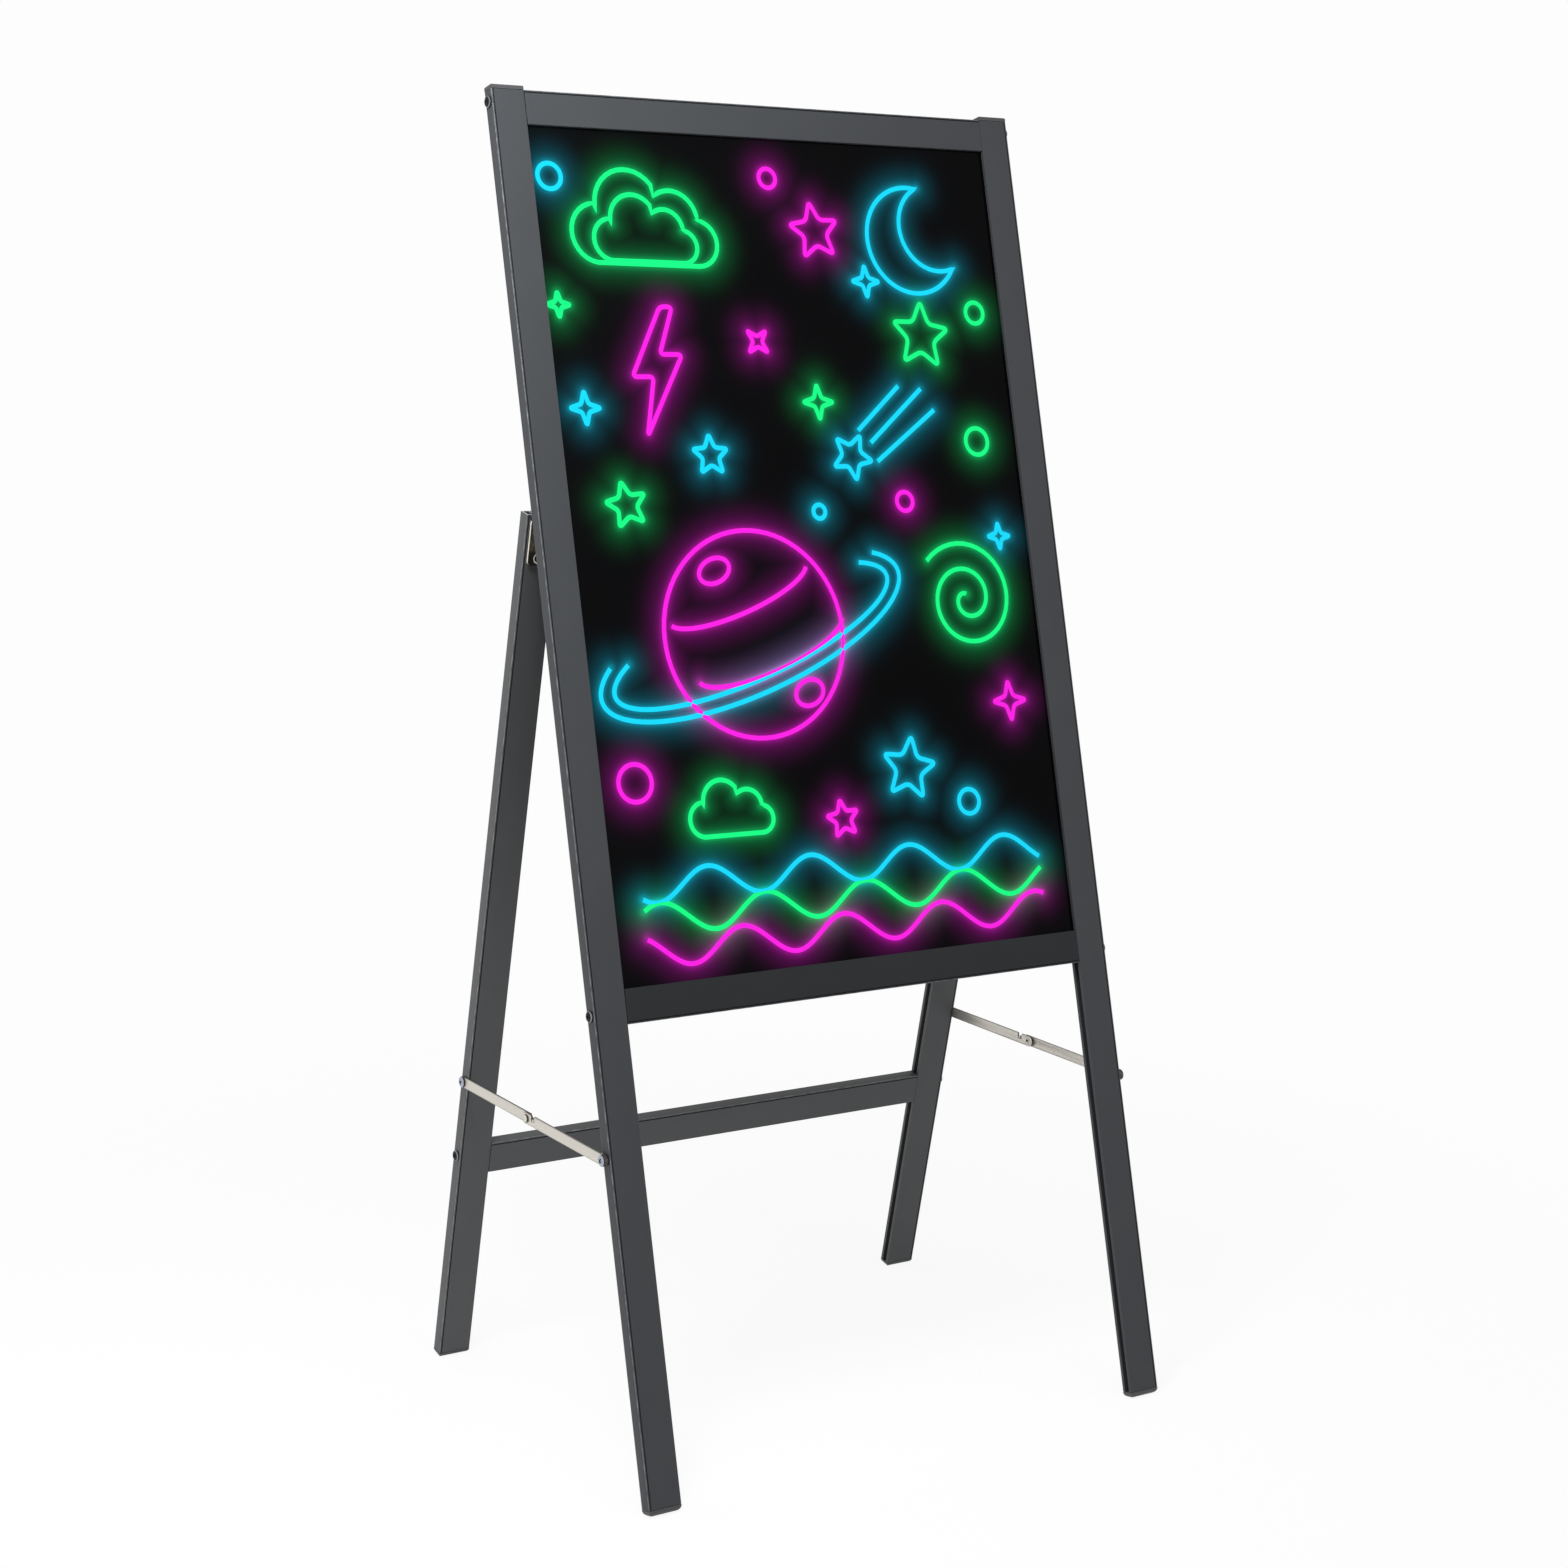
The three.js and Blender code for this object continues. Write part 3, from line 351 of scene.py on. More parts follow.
def graphite_anodising(name, base, dark):
    """Extruded aluminium, etched satin and anodised graphite grey: soft and even from a step away, with faint lines
    from the die along its length, an uneven dye, painted shade in its V-groove and outer corners painted paler,
    partly from rubbing in handling and partly as a painted highlight. The die lines of 0.2 mm are drawn 1.2 mm apart,
    because finer ones would not show."""
    material, tree = new_material(name)
    place = add(tree, "ShaderNodeAttribute", attribute_name="stock").outputs["Vector"]
    along = add(tree, "ShaderNodeMapping", {"Vector": place, "Scale": (0.85, 0.85, 0.004)})
    lines = add(tree, "ShaderNodeTexNoise", {"Vector": along, "Scale": 1.0, "Detail": 3.0})
    cloud = add(tree, "ShaderNodeTexNoise", {"Vector": place, "Scale": 0.02, "Detail": 2.0})
    grain = add(tree, "ShaderNodeTexNoise", {"Vector": place, "Scale": 2.4, "Detail": 2.0})
    mixed = add(tree, "ShaderNodeMath", {0: lines, 1: cloud, 2: 0.25}, operation="MULTIPLY_ADD")
    dye = add(tree, "ShaderNodeMix", {"Factor": mixed, 6: linear(dark), 7: linear(base)}, data_type="RGBA")
    section = add(tree, "ShaderNodeSeparateXYZ", {0: place}).outputs
    # Painted shade: the V-groove is coloured near black, where shade falls in it
    groove = add(tree, "ShaderNodeMath", {
        0: section["X"], 1: GROOVE_MIDDLE, 2: GROOVE_DEPTH,
    }, operation="COMPARE")
    shaded = add(tree, "ShaderNodeMix", {"Factor": groove, 6: dye, 7: linear("202022")}, data_type="RGBA")
    # The outer corners are coloured paler: partly from rubbing in handling, partly a painted highlight along the edge
    edge_patches = add(tree, "ShaderNodeTexNoise", {"Vector": place, "Scale": 0.12, "Detail": 4.0})
    wear_and_highlight = add(tree, "ShaderNodeMapRange", {
        "Value": edge_patches, "From Min": 0.4, "From Max": 0.65, "To Min": 0.1, "To Max": 0.7,
    })
    outer = add(tree, "ShaderNodeMath", {0: section["X"], 1: WEAR_AND_HIGHLIGHT_EDGE}, operation="LESS_THAN")
    inner = add(tree, "ShaderNodeMath", {
        0: section["Y"], 1: DEPTH / 2, 2: DEPTH / 2 - WEAR_AND_HIGHLIGHT_EDGE,
    }, operation="COMPARE")
    corner = add(tree, "ShaderNodeMath", {0: outer, 1: inner}, operation="GREATER_THAN")
    rubbed = add(tree, "ShaderNodeMath", {0: corner, 1: wear_and_highlight}, operation="MULTIPLY")
    worn_and_highlit = add(tree, "ShaderNodeMix", {"Factor": rubbed, 6: shaded, 7: linear("85878b")}, data_type="RGBA")
    gloss = add(tree, "ShaderNodeMapRange", {
        "Value": lines, "From Min": 0.3, "From Max": 0.7, "To Min": 0.46, "To Max": 0.58,
    })
    bump = add(tree, "ShaderNodeBump", {"Height": grain, "Strength": 0.12, "Distance": 0.0002})
    surfaced(tree, {
        "Base Color": worn_and_highlit, "Roughness": gloss, "Normal": bump, "Metallic": 0.3, "Specular IOR Level": 0.15,
    })
    return material


bar_finish = graphite_anodising("satin_graphite_anodised_aluminium", "3e4042", "35373a")
# The rear frame's bars are the same section coloured lighter: painted light on faces that lean down, away from the
# light
rear_bar_finish = graphite_anodising("satin_graphite_anodised_aluminium_painted_lighter", "515253", "464748")
dark_bar_finish = graphite_anodising("satin_dark_anodised_aluminium", "27292b", "1f2123")

# Bare aluminium where the saw went through after anodising: bright, with the blade's fine curved score marks
sawn_end, tree = new_material("bare_sawn_aluminium")
place = add(tree, "ShaderNodeAttribute", attribute_name="stock").outputs["Vector"]
score = add(tree, "ShaderNodeTexWave", {
    "Vector": place, "Scale": 1.3, "Distortion": 2.0, "Detail": 2.0,
}, wave_type="RINGS").outputs["Fac"]
shine = add(tree, "ShaderNodeMix", {"Factor": score, 6: linear("a9abad"), 7: linear("cfd1d3")}, data_type="RGBA")
bump = add(tree, "ShaderNodeBump", {"Height": score, "Strength": 0.3, "Distance": 0.0001})
surfaced(tree, {"Base Color": shine, "Normal": bump, "Metallic": 1.0, "Roughness": 0.38})


def upright(finish, side, length, screw_heights, pivot_height, hinge_height, face_y):
    """A stile or leg, drilled from outside for its screws and stay, and on one face for its hinge."""
    turn = Matrix.Identity(4) if side < 0 else Matrix.Rotation(math.pi, 4, "Y")
    stand = Matrix.Translation((side * HALF_WIDTH, 0, BAR_START if side < 0 else BAR_START + length)) @ turn
    bar = moved(stock([section_outline(LEG_FACE), *CHAMBERS], length, finish, sawn_end), stand)
    holes = [(LEG_FACE + DRILL_OVERRUN, height) for height in screw_heights] + [(PIVOT_HOLE_DEPTH, pivot_height)]
    cutters = [
        drill(SCREW_HOLE_RADIUS, depth, outward(side, HALF_WIDTH, DEPTH / 2, height)) for depth, height in holes
    ]
    for drop in HINGE_SCREW_DROPS:
        at = (side * (HALF_WIDTH - HINGE_SCREW_INSET), face_y, hinge_height - drop)
        cutters.append(drill(HINGE_HOLE_RADIUS, HINGE_HOLE_DEPTH, pointing("+Y" if face_y else "-Y", at)))
    return evaluated(bar, cutters=cutters), stand


def rail(finish, edge_height, slot_side):
    """A rail between two uprights, with its slot facing up or down."""
    basis = Matrix(((0, 0, -slot_side), (0, 1, 0), (slot_side, 0, 0))).to_4x4()
    lie = Matrix.Translation((slot_side * RAIL_LENGTH / 2, 0, edge_height)) @ basis
    return moved(stock([section_outline(RAIL_FACE), *CHAMBERS], RAIL_LENGTH, finish, sawn_end), lie), lie


rail_screw_heights = (BOTTOM_RAIL_HEIGHT + SCREW_LINE, TOP_EDGE - SCREW_LINE)
cross_screw_height = CROSS_RAIL_HEIGHT + RAIL_FACE - SCREW_LINE
hinge_axis = sum(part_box("hinge_pin_left"), Vector()) / 2
rear_hinge_height = (REAR.inverted() @ hinge_axis).z

for side, word in SIDES:
    bar, stand = upright(
        bar_finish, side, TOP_EDGE - FIT_GAP - BAR_START, rail_screw_heights, FRONT_PIVOT_HEIGHT, HINGE_HEIGHT, DEPTH,
    )
    settle(f"stile_{word}", bar, FRONT, "front_frame", [f"front_stile_{word}"], stock=stand)
    bar, stand = upright(
        rear_bar_finish, side, LEG_LENGTH - BAR_START, [cross_screw_height], REAR_PIVOT_HEIGHT, rear_hinge_height, 0,
    )
    settle(f"leg_{word}", bar, REAR, "rear_frame", [f"rear_leg_{word}"], stock=stand)

bar, lie = rail(bar_finish, TOP_EDGE, -1)
settle("rail_top", bar, FRONT, "front_frame", ["top_rail"], stock=lie)
bar, lie = rail(rear_bar_finish, CROSS_RAIL_HEIGHT + RAIL_FACE, -1)
settle("rail_cross", bar, REAR, "rear_frame", ["cross_rail"], stock=lie)
bar, lie = rail(dark_bar_finish, BOTTOM_RAIL_HEIGHT, 1)
plug_in = pointing("+Y", (INLET_OFFSET, DEPTH, rail_screw_heights[0]))
bar = evaluated(bar, cutters=[drill(INLET_HOLE_RADIUS, INLET_HOLE_DEPTH, plug_in)])
settle("rail_bottom", bar, FRONT, "front_frame", ["bottom_rail"], stock=lie)

# End caps: moulded from grey nylon, each with a rounded rim and two plugs pushed into the bar's outer chambers.
# The four foot caps have their soles ground level, so that they stand flat, and the two top caps are thinner.
FOOT_RADIUS = 4.0
TOP_RADIUS = 1.0
FOOT_PLUG = 10.0
TOP_PLUG = 5.0
CAP_EDGE = 0.25
GRINDER = 80.0


def plastic(name, dark, light, rough, tone_scale, tone_detail=2.0, skin=None):
    """A plastic whose colour drifts between two tones. Its skin is the scale, strength and depth of its grain."""
    material, tree = new_material(name)
    place = add(tree, "ShaderNodeTexCoord").outputs["Object"]
    drift = add(tree, "ShaderNodeTexNoise", {"Vector": place, "Scale": tone_scale, "Detail": tone_detail})
    tone = add(tree, "ShaderNodeMix", {"Factor": drift, 6: dark, 7: light}, data_type="RGBA")
    sockets = {"Base Color": tone, "Roughness": rough}
    if skin:
        scale, strength, depth = skin
        grain = add(tree, "ShaderNodeTexNoise", {"Vector": place, "Scale": scale, "Detail": 2.0})
        sockets["Normal"] = add(tree, "ShaderNodeBump", {"Height": grain, "Strength": strength, "Distance": depth})
    surfaced(tree, sockets)
    return material


# Glass-filled nylon from a spark-eroded tool: an even satin grey whose 0.3 mm grain breaks up its highlights
cap_finish = plastic(
    "moulded_grey_nylon", linear("353638", 0.82), linear("353638"), 0.55, 60.0, skin=(3200.0, 0.25, 0.0001),
)


def rounded_foot(width, height, radius):
    """A rectangle that stands on X = 0 to its width, with its two lower corners rounded."""
    steps = 10
    return [
        (0, height), *arc(radius, radius, radius, 180, 270, steps),
        *arc(width - radius, radius, radius, 270, 360, steps), (width, height),
    ]


def end_cap(side, height, radius, plug_length, ground=None):
    """A cap with its rim under Z = height and its plugs above, cut off level where a ground matrix is given."""
    across = moved(stock([rounded_foot(LEG_FACE, height, radius)], DEPTH, cap_finish), laid_back(0, DEPTH, 0))
    basis = Matrix(((0, 0, 1), (1, 0, 0), (0, 1, 0))).to_4x4()
    through = moved(stock([rounded_foot(DEPTH, height, radius)], LEG_FACE, cap_finish), basis)
    rim = evaluated(across, cutters=[through], operation="INTERSECT")
    if ground:
        built = bmesh.new()
        bmesh.ops.create_cube(built, size=GRINDER)
        slab = moved(finished(built), ground @ Matrix.Translation((0, 0, -GRINDER / 2)))
        rim = evaluated(rim, cutters=[slab])
    rim = evaluated(rim, bevel=CAP_EDGE)
    root = height - radius / 2
    plugs = []
    for low, high in ((WALL, PORT_START - RIB), (PORT_END + RIB, WALL + CHAMBER_SPAN)):
        low, high = low + FIT_GAP, high - FIT_GAP
        if side > 0:
            low, high = LEG_FACE - high, LEG_FACE - low
        loop = rectangle(low, high, WALL + FIT_GAP, DEPTH - WALL - FIT_GAP)
        plug = evaluated(stock([loop], height + plug_length - root, cap_finish), bevel=CAP_EDGE)
        plugs.append(moved(plug, Matrix.Translation((0, 0, root))))
    return evaluated(rim, cutters=plugs, operation="UNION")


for side, word in SIDES:
    edge = -HALF_WIDTH if side < 0 else HALF_WIDTH - LEG_FACE
    for place, kind in ((FRONT, "front"), (REAR, "rear")):
        level = place.inverted() @ Matrix.Translation(place.translation.xy.to_3d())
        level = Matrix.Translation(level.translation) @ level.to_3x3().normalized().to_4x4()
        cap = moved(end_cap(side, FOOT_CAP_HEIGHT, FOOT_RADIUS, FOOT_PLUG, level), Matrix.Translation((edge, 0, 0)))
        settle(f"foot_{kind}_{word}", cap, place, f"{kind}_frame", [f"foot_cap_{kind}_{word}"])
    flip = Matrix.Translation((edge, DEPTH, STILE_LENGTH)) @ Matrix.Rotation(math.pi, 4, "X")
    cap = moved(end_cap(side, TOP_CAP_HEIGHT, TOP_RADIUS, TOP_PLUG), flip)
    settle(f"top_cap_{word}", cap, FRONT, "front_frame", [f"stile_top_cap_{word}"])

# Writing panel: a cast acrylic sheet, backed in black, let into the slots all round. In the real board light from
# tapes at its long edges makes whatever is drawn on it glow; here that glow, and a soft halo of each colour round the
# strokes, are painted in as emission, and the tapes give no light.
PANEL_FRONT = 3.1
PANEL_THICKNESS = 2.7
PANEL_HALF = 200.5
PANEL_HEADROOM = 0.9
PANEL_BOTTOM = BOTTOM_RAIL_HEIGHT + SLOT_FLOOR + FIT_GAP
PANEL_TOP = TOP_EDGE - SLOT_FLOOR - PANEL_HEADROOM
OPENING_BOTTOM = BOTTOM_RAIL_HEIGHT + RAIL_FACE
GREEN, MAGENTA, CYAN = "12ff87", "ff1ee6", "10dcff"
STROKE_WIDTH = 3.4
NEAR_GLOW, NEAR_REACH = 0.28, 2.1
FAR_GLOW, FAR_REACH = 0.062, 13.0


def bend(start, corner, end, count):
    """Points on a curve from one point to another that leaves and meets them toward a corner."""
    return [tuple(start * (1 - t) ** 2 + corner * 2 * t * (1 - t) + end * t * t) for t in np.linspace(0, 1, count)]


def smoothed(points, closed_path, radius=7.0):
    """A path whose corners are rounded as a marker takes them."""
    count, out = len(points), []
    for i, (x, y) in enumerate(points):
        if not closed_path and i in (0, count - 1):
            out.append((x, y))
            continue
        here = Vector((x, y))
        before, after = Vector(points[i - 1]) - here, Vector(points[(i + 1) % count]) - here
        cut = min(radius, before.length * 0.45, after.length * 0.45)
        out += bend(here + before.normalized() * cut, here, here + after.normalized() * cut, 7)
    return out


def shifted(points, x, y, turn):
    """A path turned by an angle and moved."""
    c, s = math.cos(math.radians(turn)), math.sin(math.radians(turn))
    return [(x + p * c - q * s, y + p * s + q * c) for p, q in points]


def star(x, y, radius, points, turn=90):
    """A closed star with its first point at the given angle. A star of four points is the thinner one."""
    corners, inner = [], 0.34 if points == 4 else 0.46
    for i in range(2 * points):
        angle, reach = math.radians(turn + 180 * i / points), radius * (inner if i % 2 else 1)
        corners.append((x + reach * math.cos(angle), y + reach * math.sin(angle)))
    return smoothed(corners, True, radius * 0.16)


def ellipse(x, y, width, height, turn=0, start=0, end=360):
    """An ellipse or a part of one, turned by an angle."""
    a = np.radians(np.linspace(start, end, 73))
    points = shifted(zip(width / 2 * np.cos(a), height / 2 * np.sin(a)), x, y, turn)
    return points[:-1] if end - start == 360 else points


def crescent(x, y, radius, turn):
    """A new moon: an outer arc and a shallower inner one that meet in two horns."""
    inner = arc(radius * 0.62, 0, radius * 0.82, 270, 90, 34)
    return shifted(arc(0, 0, radius, 55, 305, 46) + inner, x, y, turn)


def cloud(x, y, size):
    """A cloud of four bumps on a flat underside."""
    bumps = (
        (-0.55, 0.02, 0.34, 262, 95), (-0.14, 0.34, 0.42, 190, 38), (0.42, 0.2, 0.34, 128, 0),
        (0.72, -0.06, 0.27, 85, -90),
    )
    points = []
    for cx, cy, r, start, end in bumps:
        points += arc(x + cx * size, y + cy * size, r * size, start, end, 14)
    return points


def wave(y, phase):
    """An open sine wave across the sheet."""
    left, right, height, length = -170, 170, 11, 85
    return [
        (x, y + height * math.sin(2 * math.pi * (x - left) / length + phase)) for x in np.linspace(left, right, 120)
    ]


def spiral(x, y, radius, turns, start):
    """An open spiral from its middle outwards."""
    t = np.linspace(0.08, 1, 90)
    a = math.radians(start) + 2 * math.pi * turns * t
    return [(x + radius * r * math.cos(b), y + radius * r * math.sin(b)) for r, b in zip(t, a)]


BOLT = smoothed([(8, 46), (-20, -4), (-3, -4), (-13, -46), (22, 12), (4, 12), (18, 46)], True, 4)

# A night sky, drawn for this board alone: X is from the sheet's middle and Y from the foot of the opening. Each
# colour has its closed paths and then its open ones.
drawing = {
    GREEN: ([
        cloud(-112, 520, 62), star(118, 452, 26, 5, 84), star(-148, 330, 17, 5, 100),
        star(20, 402, 13, 4), ellipse(158, 372, 20, 20), cloud(-111, 516, 44), cloud(-94, 108, 36),
        ellipse(170, 470, 16, 16), star(-184, 470, 9, 4),
    ], [spiral(132, 254, 44, 2.3, 30), wave(44, 0.6)]),
    MAGENTA: ([
        ellipse(-56, 236, 148, 148), shifted(BOLT, -112, 424, 0), star(34, 528, 22, 5, 96),
        star(160, 176, 15, 4), ellipse(-166, 138, 26, 26), star(-26, 446, 11, 4, 45),
        ellipse(86, 328, 14, 14), ellipse(-84, 282, 26, 17, 20), ellipse(-16, 192, 24, 18, 20),
        ellipse(-2, 566, 14, 14), star(0, 100, 14, 5, 96),
    ], [wave(22, 2.2), ellipse(-66, 266, 124, 30, 18, 190, 350), ellipse(-44, 226, 132, 34, 18, 186, 352)]),
    CYAN: ([
        crescent(120, 524, 40, 24), star(62, 132, 24, 5, 78), star(-172, 398, 12, 4),
        ellipse(112, 104, 18, 18), star(-76, 364, 15, 5), ellipse(10, 322, 10, 10), star(168, 300, 10, 4),
        star(44, 362, 18, 5, 60), star(74, 492, 12, 4), ellipse(-180, 560, 18, 18),
    ], [
        ellipse(-56, 236, 248, 62, 18, 148, 392), wave(66, 3.9), ellipse(-56, 236, 270, 82, 18, 152, 388),
        [(62, 372), (112, 412)], [(52, 381), (92, 414)], [(66, 358), (122, 396)],
    ]),
}

# The sheet's face is a grid of 2 mm squares, whose corners carry the halo
xs = np.linspace(-PANEL_HALF, PANEL_HALF, 201)
zs = np.linspace(PANEL_BOTTOM, PANEL_TOP, 305)
built = bmesh.new()
rows = [[built.verts.new((x, PANEL_FRONT, z)) for x in xs] for z in zs]
for low, high in zip(rows, rows[1:]):
    for i in range(len(xs) - 1):
        built.faces.new((low[i], low[i + 1], high[i + 1], high[i]))
rim_loop = [*rows[0], *[r[-1] for r in rows[1:]], *rows[-1][-2::-1], *[r[0] for r in rows[-2:0:-1]]]
behind = [built.verts.new((v.co.x, PANEL_FRONT + PANEL_THICKNESS, v.co.z)) for v in rim_loop]
for i, v in enumerate(rim_loop):
    j = (i + 1) % len(rim_loop)
    built.faces.new((v, behind[i], behind[j], rim_loop[j]))
built.faces.new(behind)
bmesh.ops.recalc_face_normals(built, faces=built.faces)
panel_mesh = finished(built)

# The halo is bright within 2 mm of a stroke and fades out about 25 mm away
glow = panel_mesh.attributes.new("halo", "FLOAT_COLOR", "POINT")
halo = np.zeros((len(panel_mesh.vertices), 4), np.float32)
halo[:, 3] = 1
for code, (closed_paths, open_paths) in drawing.items():
    places = []
    for path in [path + path[:1] for path in closed_paths] + open_paths:
        for (x0, y0), (x1, y1) in zip(path, path[1:]):
            count = max(1, int(math.hypot(x1 - x0, y1 - y0)))
            places += [(x0 + (x1 - x0) * k / count, y0 + (y1 - y0) * k / count) for k in range(count)]
    nearest = kdtree.KDTree(len(places))
    for k, (x, y) in enumerate(places):
        nearest.insert((x, PANEL_FRONT, OPENING_BOTTOM + y), k)
    nearest.balance()
    colour = np.array(linear(code)[:3])
    for k, v in enumerate(panel_mesh.vertices):
        if v.co.y < PANEL_FRONT + PANEL_THICKNESS / 2:
            reach = max(0.0, nearest.find(v.co)[2] - STROKE_WIDTH / 2)
            near, far = math.exp(-reach / NEAR_REACH), math.exp(-((reach / FAR_REACH) ** 2))
            halo[k, :3] += colour * (NEAR_GLOW * near + FAR_GLOW * far)
glow.data.foreach_set("color", halo.ravel())

# Cast acrylic, flame polished, over black: a deep black sheet with a faint bloom of its halo light, painted in as
# emission. The room's reflection is held down, because the light in the sheet outshines it.
panel_finish, tree = new_material("polished_cast_acrylic_backed_black")
place = add(tree, "ShaderNodeTexCoord").outputs["Object"]
smear = add(tree, "ShaderNodeTexNoise", {"Vector": place, "Scale": 9.0, "Detail": 3.0})
wiped = add(tree, "ShaderNodeMapRange", {"Value": smear, "To Min": 0.1, "To Max": 0.2})
light = add(tree, "ShaderNodeAttribute", attribute_name="halo")
black = add(tree, "ShaderNodeMix", {"Factor": smear, 6: linear("020203"), 7: linear("050506")}, data_type="RGBA")
surfaced(tree, {
    "Base Color": black, "Roughness": wiped, "Emission Color": light.outputs["Color"], "Emission Strength": 1.0,
    "Specular IOR Level": 0.03,
})
settle("panel", panel_mesh, FRONT, "front_frame", ["writing_panel"], [panel_finish])

# Ink: fluorescent marker, drawn straight on the sheet as beads 0.12 mm high. Its glow under the edge light is
# painted in as emission, even all along, and hides the black behind it.
INK_HEIGHT = 0.12
ink_tree, given = new_tree("ink_strokes", {"Width": "Float", "Height": "Float", "Ink": "Material"})
path = add(ink_tree, "GeometryNodeMeshToCurve", {"Mesh": given["Geometry"]})
flat = add(ink_tree, "GeometryNodeSetCurveNormal", {"Curve": path}, mode="Z_UP")
half_disc = add(ink_tree, "GeometryNodeCurveArc", {
    "Resolution": 11, "Radius": 1.0, "Start Angle": math.pi, "Sweep Angle": math.pi,
})
loop = add(ink_tree, "GeometryNodeSetSplineCyclic", {"Geometry": half_disc, "Cyclic": True})
half_width = add(ink_tree, "ShaderNodeMath", {0: given["Width"], 1: 0.5}, operation="MULTIPLY")
size = add(ink_tree, "ShaderNodeCombineXYZ", {"X": half_width, "Y": given["Height"], "Z": 1.0})
bead = add(ink_tree, "GeometryNodeTransform", {"Geometry": loop, "Scale": size})
drawn = add(ink_tree, "GeometryNodeCurveToMesh", {"Curve": flat, "Profile Curve": bead, "Fill Caps": True})
ended(ink_tree, drawn, (given["Ink"], True))

for word, code in (("green", GREEN), ("magenta", MAGENTA), ("cyan", CYAN)):
    # Fluorescent pigment in a wax-like binder: it gives light of one pure hue, a little thinner in places
    ink, tree = new_material(f"fluorescent_{word}_marker_ink")
    place = add(tree, "ShaderNodeTexCoord").outputs["Object"]
    patchy = add(tree, "ShaderNodeTexNoise", {"Vector": place, "Scale": 160.0, "Detail": 2.0})
    shade = add(tree, "ShaderNodeMix", {"Factor": patchy, 6: linear(code, 0.86), 7: linear(code)}, data_type="RGBA")
    surfaced(tree, {
        "Emission Color": shade, "Emission Strength": 0.92, "Base Color": linear(code, 0.1), "Roughness": 0.6,
        "Specular IOR Level": 0.1,
    })
    values = {"Width": STROKE_WIDTH, "Height": INK_HEIGHT, "Ink": ink}
    strokes = evaluated(traced(*drawing[code]), ink_tree, values)
    strokes = moved(strokes, laid_back(0, PANEL_FRONT, OPENING_BOTTOM))
    settle(f"ink_{word}", strokes, FRONT, "front_frame", [], sharp=60)

# Backing board: a thin black foam sheet behind the panel, in the same slots, with a fine orange-peel skin.
BACKING_FRONT = PANEL_FRONT + PANEL_THICKNESS + FIT_GAP
BACKING_THICKNESS = 0.8
BACKING_EDGE = 0.15
# Foamed PVC with a rolled skin: a dead, slightly blotched black whose 1 mm peel keeps it from shining
backing_finish = plastic(
    "matt_black_foamed_pvc", linear("141416"), linear("1d1d20"), 0.62, 14.0, 3.0, (900.0, 0.3, 0.0002),
)
sheet = stock([rectangle(-PANEL_HALF, PANEL_HALF, PANEL_BOTTOM, PANEL_TOP)], BACKING_THICKNESS, backing_finish)
backing = moved(evaluated(sheet, bevel=BACKING_EDGE), laid_back(0, BACKING_FRONT + BACKING_THICKNESS, 0))
settle("backing", backing, FRONT, "front_frame", ["backing_board"])

# Light tapes: a white flexible circuit strip lies on the slot floor beside each long edge of the panel, with a
# square light chip every 16.7 mm that faces into the sheet's polished edge. They are hidden in the slots.
TAPE_FACE = HALF_WIDTH - SLOT_FLOOR - FIT_GAP
TAPE_LENGTH = 594.7
TAPE_WIDTH = 3.8
TAPE_THICKNESS = 0.5
CHIP_LENGTH = 3.5
CHIP_WIDTH = 2.8
CHIP_HEIGHT = 0.8
CHIP_PITCH = 16.7
tape_tree, given = new_tree("light_tape", {
    "Pitch": "Float", "Count": "Int", "Chip Length": "Float", "Chip Width": "Float", "Chip Height": "Float",
    "Start": "Float", "Tape": "Material", "Chip": "Material",
})
first = add(tape_tree, "ShaderNodeCombineXYZ", {"X": given["Start"], "Z": TAPE_THICKNESS})
step = add(tape_tree, "ShaderNodeCombineXYZ", {"X": given["Pitch"]})
row = add(tape_tree, "GeometryNodeMeshLine", {"Count": given["Count"], "Start Location": first, "Offset": step})
size = add(tape_tree, "ShaderNodeCombineXYZ", {
    "X": given["Chip Length"], "Y": given["Chip Width"], "Z": given["Chip Height"],
})
chip = add(tape_tree, "GeometryNodeMeshCube", {"Size": size, "Vertices X": 4, "Vertices Y": 4, "Vertices Z": 2})
lift = add(tape_tree, "ShaderNodeMath", {0: given["Chip Height"], 1: 0.5}, operation="MULTIPLY")
up = add(tape_tree, "ShaderNodeCombineXYZ", {"Z": lift})
raised = add(tape_tree, "GeometryNodeTransform", {"Geometry": chip, "Translation": up})
lens = add(tape_tree, "GeometryNodeSetMaterial", {"Geometry": raised, "Material": given["Chip"]})
chips = add(tape_tree, "GeometryNodeInstanceOnPoints", {"Points": row, "Instance": lens})
taped = add(tape_tree, "GeometryNodeJoinGeometry", {0: chips})
tape_tree.links.new(given["Geometry"], taped.inputs[0])
lit = add(tape_tree, "GeometryNodeMaterialSelection", {0: given["Chip"]})
strip = add(tape_tree, "FunctionNodeBooleanMath", {0: lit}, operation="NOT")
ended(tape_tree, taped, (given["Tape"], strip))

# Polyimide film under white solder mask, which throws the light back, and phosphor gel, pale yellow and glossy
tape_finish = plastic("white_polyimide_light_tape", linear("dfe1dc"), linear("eff1ec"), 0.45, 300.0)
chip_finish = plastic("yellow_phosphor_light_chip", linear("e2d27a"), linear("f4eecb"), 0.3, 1500.0, 1.0)

